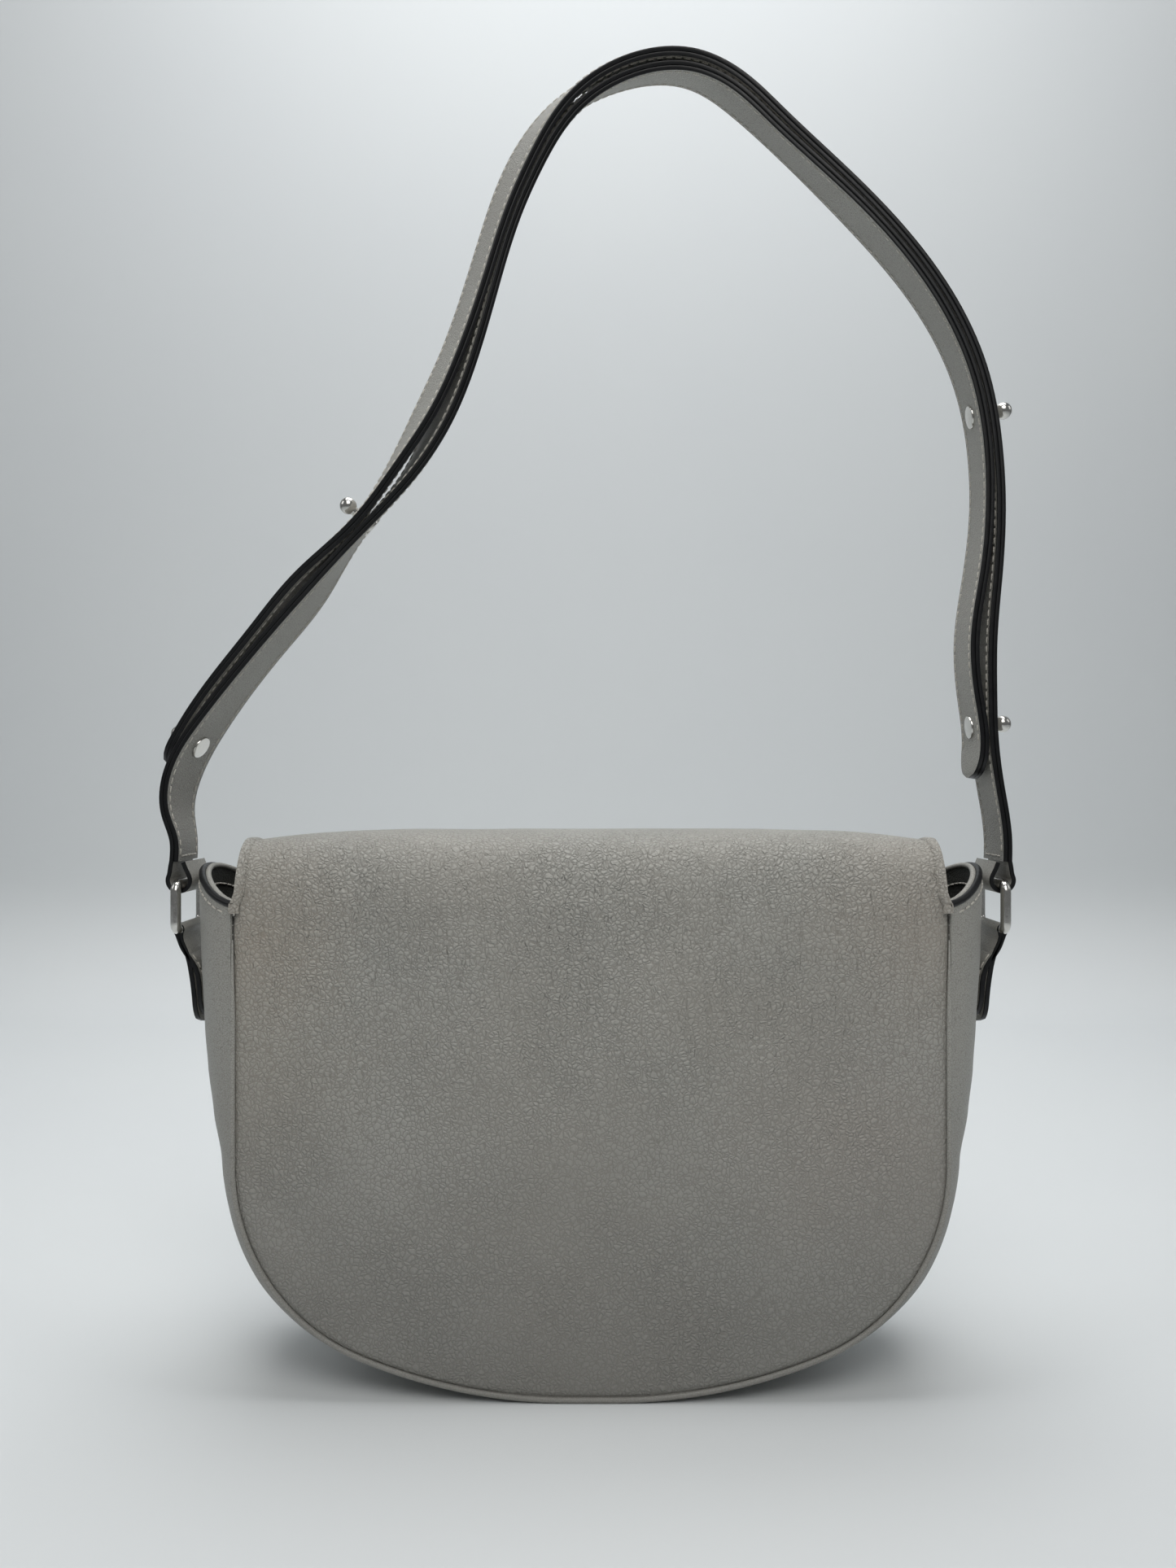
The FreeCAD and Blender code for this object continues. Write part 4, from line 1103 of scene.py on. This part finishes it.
class BAG_OT_linings(BagOperator):
    """Dark pebbled lining of the back, the front and the gusset"""
    bl_idname = "bag.linings"
    bl_label = "Linings"

    def build(self):
        size = sizes()
        inset = size.leather
        for name, y, seed in (("back_lining", LINING_HIGH.y, 2.0),
                              ("front_lining", box_mm("front_lining")[0].y, 5.0)):
            facing = 1 if name == "back_lining" else -1

            def place(u, v):
                z = rising(v, inset)
                share = (2 * u - 1) * -facing
                x = CENTRE_X + share * half_at(z, inset)
                wave = 0.5 * noise.noise(Vector((x / 30 + seed, z / 40, seed)))
                calm = min(1.0, abs(z - (COIL_LOW.z + COIL_HIGH.z) / 2) / 60)
                return x, y - facing * max(0.0, 0.3 + wave * 0.6) * calm, z

            cloth = sheet(name + "_cloth", 70, 60, place)
            dress(cloth, "lining")
            thicken(cloth, size.lining - 0.3)
            if name == "back_lining":
                self.cut_window(cloth)
            smooth(cloth, 50)
            settle(cloth, "bag", "dark_lining", name)

        def inner(u, v):
            wave = 0.25 * noise.noise(Vector((u * 40, v * 2, 3)))
            return gusset_point(size.leather + size.lining + 1.2 + wave, 2 * u - 1, v,
                                LINING_HIGH.y, FRONT_Y - inset - size.lining, 1.0)

        gusset = sheet("gusset_lining_cloth", 220, 24, inner)
        dress(gusset, "lining")
        thicken(gusset, 0.6)
        smooth(gusset, 50)
        settle(gusset, "bag", "dark_lining", "gusset_lining")

        rows = flap_rows()
        last = len(rows) - 1

        def under(u, v):
            share = 0.975 * (2 * (1 - u) - 1)
            row = rows[round(v * last)]
            return flap_point(row, share, -size.leather - 0.55)

        cloth = sheet("flap_lining_cloth", 60, last, under)
        dress(cloth, "lining", "edge")
        thicken(cloth, size.lining - 0.2)
        smooth(cloth, 50)
        bend_with_flap(cloth)
        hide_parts("flap_lining")
        line = [gusset_point(size.leather + size.lining + 2.2, t, v / 30, LINING_HIGH.y,
                             FRONT_Y - 3, 8.0)
                for t in (-1, 1) for v in range(2, 29)]
        half = len(line) // 2
        seams = [(line[:half], [Vector((-1, 0, 0))] * half),
                 (line[half:], [Vector((1, 0, 0))] * half)]
        stitch_row("mouth_lining_stitches", seams, "bag", "dark_lining")

    def cut_window(self, cloth):
        """Opening of the zip pocket."""
        low, high = box_mm("pocket_frame")
        border = 4.4
        middle = (low + high) / 2
        deselect()
        bpy.ops.mesh.primitive_cube_add(size=1, location=middle * MM)
        cutter = bpy.context.object
        cutter.scale = Vector((high.x - low.x - 2 * border, 20, high.z - low.z - 2 * border)) * MM
        window = cloth.modifiers.new("window", "BOOLEAN")
        window.operation = "DIFFERENCE"
        window.object = cutter
        finish_modifiers(cloth)
        bpy.data.objects.remove(cutter)


class BAG_OT_welts(BagOperator):
    """Covered cord that makes the thin ridge beside each panel's seam"""
    bl_idname = "bag.welts"
    bl_label = "Welts"

    def build(self):
        size = sizes()
        start, inset = 14.0, 0.85
        steps = 150
        for name, y in (("back_welt", BACK_Y), ("front_welt", FRONT_Y)):
            right = []
            for i in range(steps + 1):
                x, z, _, _ = outline(start + (HALF_LENGTH - start) * i / steps, inset)
                right.append(Vector((CENTRE_X + x, y, z)))
            left = [Vector((2 * CENTRE_X - p.x, p.y, p.z)) for p in reversed(right[:-1])]
            cord = tube(name + "_cord", right + left, size.welt, False, "smooth",
                        lambda s: min(1.0, 0.25 + 14 * min(s, 1 - s)))
            settle(cord, "bag", "welt_cord", name)


# ---------------------------------------------------------------- straps

def route_point(place, ring_x):
    return ring_x * place[0] / 100, -STRAP_DROP * place[1] / 100


def strap_end(hand):
    """x and z of the strap's inner face where it is sewn above its ring."""
    ring_x = RIGHT_X if hand > 0 else LEFT_X
    return ring_x + hand * STRAP_OUTSET, BAR_Z + LOOP_HEIGHT


def stud_strap_line():
    """Rows of x, z, distance of the turning axis from the inner face, and twist."""
    x, z = strap_end(-1)
    rows = [(x, z, STRAP_THICKNESS, 0), (x, z + LOOP_HEIGHT, STRAP_THICKNESS, 0)]
    for place, twist in zip(LEFT_ROUTE, LEFT_TWIST):
        rows.append((*route_point(place, LEFT_X), STRAP_THICKNESS, twist))
    rows.append((0, 1.0, STRAP_THICKNESS, HOOK_TWIST))
    for place, twist in zip(RIGHT_ROUTE, RIGHT_TWIST):
        rows.append((*route_point(place, RIGHT_X), STRAP_THICKNESS, twist))
    return rows


def outwards(line, i):
    low, high = max(0, i - 1), min(len(line) - 1, i + 1)
    run = np.array(line[high][:2]) - np.array(line[low][:2])
    run = run / np.hypot(*run)
    return np.array([-run[1], run[0]])


def hole_strap_line():
    steps = 8
    inner = spline_through(stud_strap_line(), steps)
    slacks = LEFT_SLACK + [HOOK_SLACK] + RIGHT_SLACK
    twists = LEFT_TWIST + [HOOK_TWIST] + RIGHT_TWIST
    rows = []
    for k, (slack, twist) in enumerate(zip(slacks, twists)):
        if k in (0, len(slacks) - 1):
            continue
        i = (k + 2) * steps
        out = outwards(inner, i) * (STRAP_THICKNESS + slack)
        rows.append((inner[i][0] + out[0], inner[i][1] + out[1], -slack, twist))
    rows.append((*route_point(LONE_RIGHT, RIGHT_X), 0, 0))
    x, z = strap_end(1)
    return rows + [(x, z + LOOP_HEIGHT, 0, 0), (x, z, 0, 0)]


def strap_stations(rows, steps=9):
    """Frames along a strap: place on the inner face, outward and crosswise directions."""
    line = spline_through(rows, steps)
    stations = []
    for i, (x, z, axis, twist) in enumerate(line):
        out = outwards(line, i)
        out = Vector((out[0], 0, out[1]))
        cross = Vector((0, 1, 0))
        hub = Vector((x, 0, z)) + out * axis
        turn = math.radians(twist)
        turned_out = out * math.cos(turn) + cross * math.sin(turn)
        turned_cross = cross * math.cos(turn) - out * math.sin(turn)
        stations.append((hub - turned_out * axis, turned_out, turned_cross))
    return stations


def fold_stations(route, hand):
    """Frames along a strip whose route of x and z lies in the bag's front view."""
    line = spline_through([(x, z, 0, 0) for x, z in route], 4)
    stations = []
    for i, (x, z, _, _) in enumerate(line):
        out = outwards(line, i)
        out = Vector((out[0], 0, out[1])) * hand
        stations.append((Vector((x, 0, z)), out, Vector((0, 1, 0))))
    return stations


def loop_stations(hand):
    """The outer ply goes on round its ring's bar and up to the sewn end."""
    x_end, z_end = strap_end(hand)
    ring_x = RIGHT_X if hand > 0 else LEFT_X
    hub_z = BAR_Z + LOOP_RADIUS - WIRE_RADIUS - 0.08
    radius = LOOP_RADIUS
    route = [(x_end + hand * STRAP_PLY, z_end), (ring_x + hand * 2.6, z_end - 2.6)]
    for step in range(13):
        angle = math.radians(28 - 236 * step / 12)
        route.append((ring_x + hand * radius * math.cos(angle), hub_z + radius * math.sin(angle)))
    route += [(ring_x - hand * 2.1, z_end - 3.6), (ring_x - hand * 0.9, z_end - 0.6)]
    return fold_stations(route, hand)


def ribbon(name, stations, low, high, half, finish, tips=(None, None), corner=0.5):
    """Strip of leather with painted edges. low and high are measured off the stations' face;
    tips give the length over which an end narrows to a round tip."""
    arc = 4
    lengths = [0.0]
    for (a, _, _), (b, _, _) in zip(stations, stations[1:]):
        lengths.append(lengths[-1] + (b - a).length)
    middle, deep = (low + high) / 2, (high - low) / 2
    ring = []
    for sx, sy in ((1, 1), (-1, 1), (-1, -1), (1, -1)):
        for step in range(arc + 1):
            quarter = {(1, 1): 0, (-1, 1): 90, (-1, -1): 180, (1, -1): 270}[(sx, sy)]
            angle = math.radians(quarter + 90 * step / arc)
            ring.append((sx * (deep - corner) + corner * math.cos(angle),
                         sy, corner * math.sin(angle)))
    count, last = len(ring), len(stations) - 1

    def place(u, v):
        i = round(v * last)
        centre, out, cross = stations[i]
        a, side, b = ring[round(u * count) % count]
        reach = half
        for tip, gone in zip(tips, (lengths[i], lengths[-1] - lengths[i])):
            if tip and gone < tip:
                reach = min(reach, half - tip + math.sqrt(max(0.0, tip ** 2 - (tip - gone) ** 2)))
        return centre + out * (middle + a) + cross * (side * (reach - corner) + b)

    def paint(u, v):
        return 0 if int(u * count) % (2 * arc + 2) == 2 * arc + 1 else 1

    strip = sheet(name, count, last, place, paint)
    weld(strip, 0.002, True)
    for face in strip.data.polygons:
        if len(face.vertices) > 4:
            face.material_index = 1
    dress(strip, finish, "edge")
    smooth(strip, 40)
    return strip


def face_seam(stations, height, across, sign, skip=(3, 3)):
    """A row of stitches on one face of a strap, across millimetres off its centre line."""
    points, normals = [], []
    for centre, out, cross in stations[skip[0]:len(stations) - skip[1]]:
        points.append(centre + out * height + cross * across)
        normals.append(out * sign)
    return points, normals


class BAG_OT_straps(BagOperator):
    """Two straps of two plies each, sewn and edge-painted, looped round the rings"""
    bl_idname = "bag.straps"
    bl_label = "Straps"

    def build(self):
        margin = STRAP_HALF - 2.6
        plans = (("stud_strap", stud_strap_line(), -1), ("hole_strap", hole_strap_line(), 1))
        for name, rows, hand in plans:
            stations = strap_stations(rows)
            ring_first = hand < 0
            tips = (None, STRAP_TIP) if ring_first else (STRAP_TIP, None)
            inner = ribbon(name + "_inner_leather", stations, 0.0, STRAP_PLY - 0.02, STRAP_HALF,
                           "strap", tips)
            settle(inner, "strap", "strap_leather", name + "_inner_ply")
            outer = ribbon(name + "_outer_leather", stations, STRAP_PLY, STRAP_THICKNESS,
                           STRAP_HALF, "strap", tips)
            settle(outer, "strap", "strap_leather", name + "_outer_ply")
            loop = ribbon(name + "_ring_loop", loop_stations(hand), 0.0, STRAP_PLY,
                          STRAP_HALF, "smooth")
            settle(loop, "strap", "strap_leather")
            seams = []
            for height, sign in ((0.0, -1), (STRAP_THICKNESS, 1)):
                for across in (margin, -margin):
                    seams.append(face_seam(stations, height, across, sign,
                                           (2, 8) if ring_first else (8, 2)))
            end = 2 if ring_first else -3
            centre, out, cross = stations[end]
            row = [centre + cross * (margin * (1 - 2 * i / 12)) for i in range(13)]
            seams.append((row, [-out] * 13))
            stitch_row(name + "_stitches", seams, "strap", "strap_leather")


class BAG_OT_studs(BagOperator):
    """Ball studs through the stud strap, each with a flat screw on the inside"""
    bl_idname = "bag.studs"
    bl_label = "Studs"

    def build(self):
        stations = strap_stations(stud_strap_line())
        stand = STRAP_THICKNESS + NECK_STAND
        balls, screws = [], []
        ball_profile = [(NECK_RADIUS, 0.0), (NECK_RADIUS, stand),
                        (NECK_RADIUS + 0.15, stand + 0.15)]
        for step in range(15):
            angle = math.radians(-55 + 145 * step / 14)
            ball_profile.append((BALL_RADIUS * math.cos(angle),
                                 stand + 0.8 * BALL_RADIUS + BALL_RADIUS * math.sin(angle)))
        screw_profile = [(0.0, -1.0), (3.9, -1.0), (4.6, -0.85), (4.8, -0.45), (4.8, 0.05),
                         (1.3, 0.05), (1.3, 2.0)]
        for number, ((across, down), grip) in enumerate(zip(STUD_PLACES, STUD_GRIPS), 1):
            ring_x = RIGHT_X if across > 0 else LEFT_X
            target = Vector((ring_x * abs(across) / 100, 0, -STRAP_DROP * down / 100))
            centre, out, _ = min(stations, key=lambda station: (station[0] - target).length)
            shifted = ball_profile[:1] + [(r, h + grip) for r, h in ball_profile[1:]]
            balls.append(self.turn("ball_stud_%d" % number, shifted, centre, out))
            screws.append(self.turn("stud_screw_%d" % number, screw_profile, centre, out))
        for names, made, replaced in (("studs", balls, "ball_studs"),
                                      ("screws", screws, "stud_screws")):
            for obj in made:
                settle(obj, "strap", "nickel", replaced)

    def turn(self, name, profile, centre, out):
        """Spin a profile of radius and height round the stud's axis."""
        side = Vector((0, 1, 0)).cross(out).normalized()
        cross = out.cross(side)
        last = len(profile) - 1

        def place(u, v):
            radius, height = profile[round(v * last)]
            angle = 2 * math.pi * u
            return centre + out * height + (side * math.cos(angle)
                                            + cross * math.sin(angle)) * radius

        obj = sheet(name, 32, last, place)
        weld(obj, 0.002, True)
        dress(obj, "nickel")
        smooth(obj, 35)
        return obj


# ---------------------------------------------------------------- rings and tabs

class BAG_OT_rings(BagOperator):
    """Rounded-rectangle rings of polished wire"""
    bl_idname = "bag.rings"
    bl_label = "Rings"

    def build(self):
        radius, count = 3.5, 10
        for name, x, low, high in (("ring_left", LEFT_X, LEFT_RING_LOW, LEFT_RING_HIGH),
                                   ("ring_right", RIGHT_X, RIGHT_RING_LOW, RIGHT_RING_HIGH)):
            half = (high.y - low.y) / 2 - WIRE_RADIUS
            tall = (BAR_Z - LOWER_BAR_Z) / 2
            middle = (BAR_Z + LOWER_BAR_Z) / 2
            points = []
            for quarter, (sy, sz) in enumerate(((1, 1), (-1, 1), (-1, -1), (1, -1))):
                for step in range(count + 1):
                    angle = math.pi / 2 * (quarter + step / count)
                    points.append((x, sy * (half - radius) + radius * math.cos(angle),
                                   middle + sz * (tall - radius) + radius * math.sin(angle)))
            ring = tube(name + "_wire", points, WIRE_RADIUS, True, "nickel")
            settle(ring, name, "nickel", name)


class BAG_OT_tabs(BagOperator):
    """Tabs folded round the rings' lower bars and sewn flat to the gusset"""
    bl_idname = "bag.tabs"
    bl_label = "Tabs"

    def build(self):
        ply, radius = 2.0, WIRE_RADIUS + 0.25
        tip_z = TAB_LOW.z
        for name, ring_x, hand in (("tab_left", LEFT_X, -1), ("tab_right", RIGHT_X, 1)):
            foot = self.gusset_x(hand, tip_z + 2) + hand * 0.15
            neck = self.gusset_x(hand, tip_z + 24) + hand * 0.2
            inner = [(foot, tip_z), (foot + hand * 0.05, tip_z + 8), (neck, tip_z + 22)]
            outer_neck = neck + hand * (2 * ply)
            loop = []
            for step in range(13):
                angle = math.radians(212 - 244 * step / 12)
                loop.append((ring_x + hand * radius * math.cos(angle),
                             LOWER_BAR_Z + radius * math.sin(angle)))
            outer = [(outer_neck + hand * 0.1, tip_z + 23), (foot + hand * 2 * ply, tip_z + 10),
                     (foot + hand * 1.55 * ply, tip_z + 2)]
            lay = [(x + hand * ply, z) for x, z in inner]
            rise = (lay[-1][0] * 0.4 + loop[0][0] * 0.6, tip_z + 31)
            fall = (outer_neck * 0.45 + loop[-1][0] * 0.55, tip_z + 31)
            route = lay + [rise] + loop + [fall] + [(x - hand * ply, z) for x, z in outer]
            stations = fold_stations(route, -hand)
            strip = ribbon(name + "_leather", stations, 0.0, ply, 12.5, "smooth", (10.0, 10.0),
                           0.45)
            settle(strip, "bag", "strap_leather", name)
            seams = [face_seam(stations, ply, across, 1, (len(stations) - 18, 4))
                     for across in (9.7, -9.7)]
            stitch_row(name + "_stitches", seams, "bag", "strap_leather")

    def gusset_x(self, hand, z):
        share = (FOLD_Z - z) / (FOLD_Z - BASE_Z)
        return CENTRE_X + hand * (HALF_WIDTH + fullness_at(0, share))


# ---------------------------------------------------------------- snap and zip pocket

class BAG_OT_snap(BagOperator):
    """Magnetic snap: washers, stud and socket of plated steel"""
    bl_idname = "bag.snap"
    bl_label = "Magnetic Snap"

    def build(self):
        for name in ("snap_stud", "snap_socket", "snap_stud_washer", "snap_socket_washer"):
            dress(frame["nodes"][name], "nickel")


class BAG_OT_zip_pocket(BagOperator):
    """Zip pocket in the back lining: frame, tapes, coil teeth, slider and pull"""
    bl_idname = "bag.zip_pocket"
    bl_label = "Zip Pocket"

    def build(self):
        for name, finish in (("pocket_frame", "smooth"), ("pocket_bag", "cloth"),
                             ("zip_tapes", "tape"), ("front_facing", "smooth"),
                             ("zip_stops", "nickel"), ("zip_slider", "nickel"),
                             ("zip_pull", "nickel")):
            dress(frame["nodes"][name], finish)
        pitch = sizes().coil_pitch
        low, high = COIL_LOW, COIL_HIGH
        count = int((high.x - low.x) / pitch)
        middle = (low + high) / 2
        deselect()
        bpy.ops.mesh.primitive_torus_add(major_segments=10, minor_segments=5, major_radius=1,
                                         minor_radius=0.42, rotation=(0, math.pi / 2, 0))
        pattern = bpy.context.object
        bpy.ops.object.transform_apply(rotation=True)
        dots = [v.co.copy() for v in pattern.data.vertices]
        faces = [tuple(f.vertices) for f in pattern.data.polygons]
        bpy.data.objects.remove(pattern)
        vertices, polygons = [], []
        for k in range(count):
            start = len(vertices)
            x = low.x + pitch * (k + 0.5)
            shift = 0.35 if k % 2 else -0.35
            for dot in dots:
                vertices.append(Vector((x + dot.x, middle.y + dot.y * 0.52,
                                        middle.z + shift + dot.z * 0.8)) * MM)
            polygons += [tuple(start + i for i in face) for face in faces]
        teeth = mesh_object("zip_coil_teeth", vertices, polygons)
        dress(teeth, "coil")
        smooth(teeth, 180)
        settle(teeth, "bag", "zip_coil", "zip_coil")
        low, high = box_mm("pocket_frame")
        edge = 1.6
        corners = [(low.x + edge, low.z + edge), (high.x - edge, low.z + edge),
                   (high.x - edge, high.z - edge), (low.x + edge, high.z - edge)]
        ring = [Vector((x, high.y, z)) for x, z in corners + corners[:1]]
        line = []
        for first, second in zip(ring, ring[1:]):
            line += [first.lerp(second, i / 20) for i in range(20)]
        stitch_row("pocket_frame_stitches", [(line, [Vector((0, 1, 0))] * len(line))], "bag",
                   "smooth_leather")


# ---------------------------------------------------------------- panel and registration

STEPS = (BAG_OT_stage, BAG_OT_back_and_flap, BAG_OT_flap_border, BAG_OT_front_panel,
         BAG_OT_gusset, BAG_OT_linings, BAG_OT_welts, BAG_OT_straps, BAG_OT_studs,
         BAG_OT_rings, BAG_OT_tabs, BAG_OT_snap, BAG_OT_zip_pocket)


class BAG_PT_panel(bpy.types.Panel):
    bl_label = "Leather Shoulder Bag"
    bl_idname = "BAG_PT_panel"
    bl_space_type = "VIEW_3D"
    bl_region_type = "UI"
    bl_category = "Bag"

    def draw(self, context):
        for step in STEPS:
            self.layout.operator(step.bl_idname)
        for group in (context.scene.bag_sizes, context.scene.bag_colours):
            for name in group.__annotations__:
                self.layout.prop(group, name)


CLASSES = (BagSizes, BagColours, *STEPS, BAG_PT_panel)


def register():
    for cls in CLASSES:
        bpy.utils.register_class(cls)
    bpy.types.Scene.bag_sizes = PointerProperty(type=BagSizes)
    bpy.types.Scene.bag_colours = PointerProperty(type=BagColours)


def unregister():
    del bpy.types.Scene.bag_colours
    del bpy.types.Scene.bag_sizes
    for cls in reversed(CLASSES):
        bpy.utils.unregister_class(cls)


def main():
    register()
    for step in STEPS:
        group, name = step.bl_idname.split(".")
        getattr(getattr(bpy.ops, group), name)()


if __name__ == "__main__":
    main()
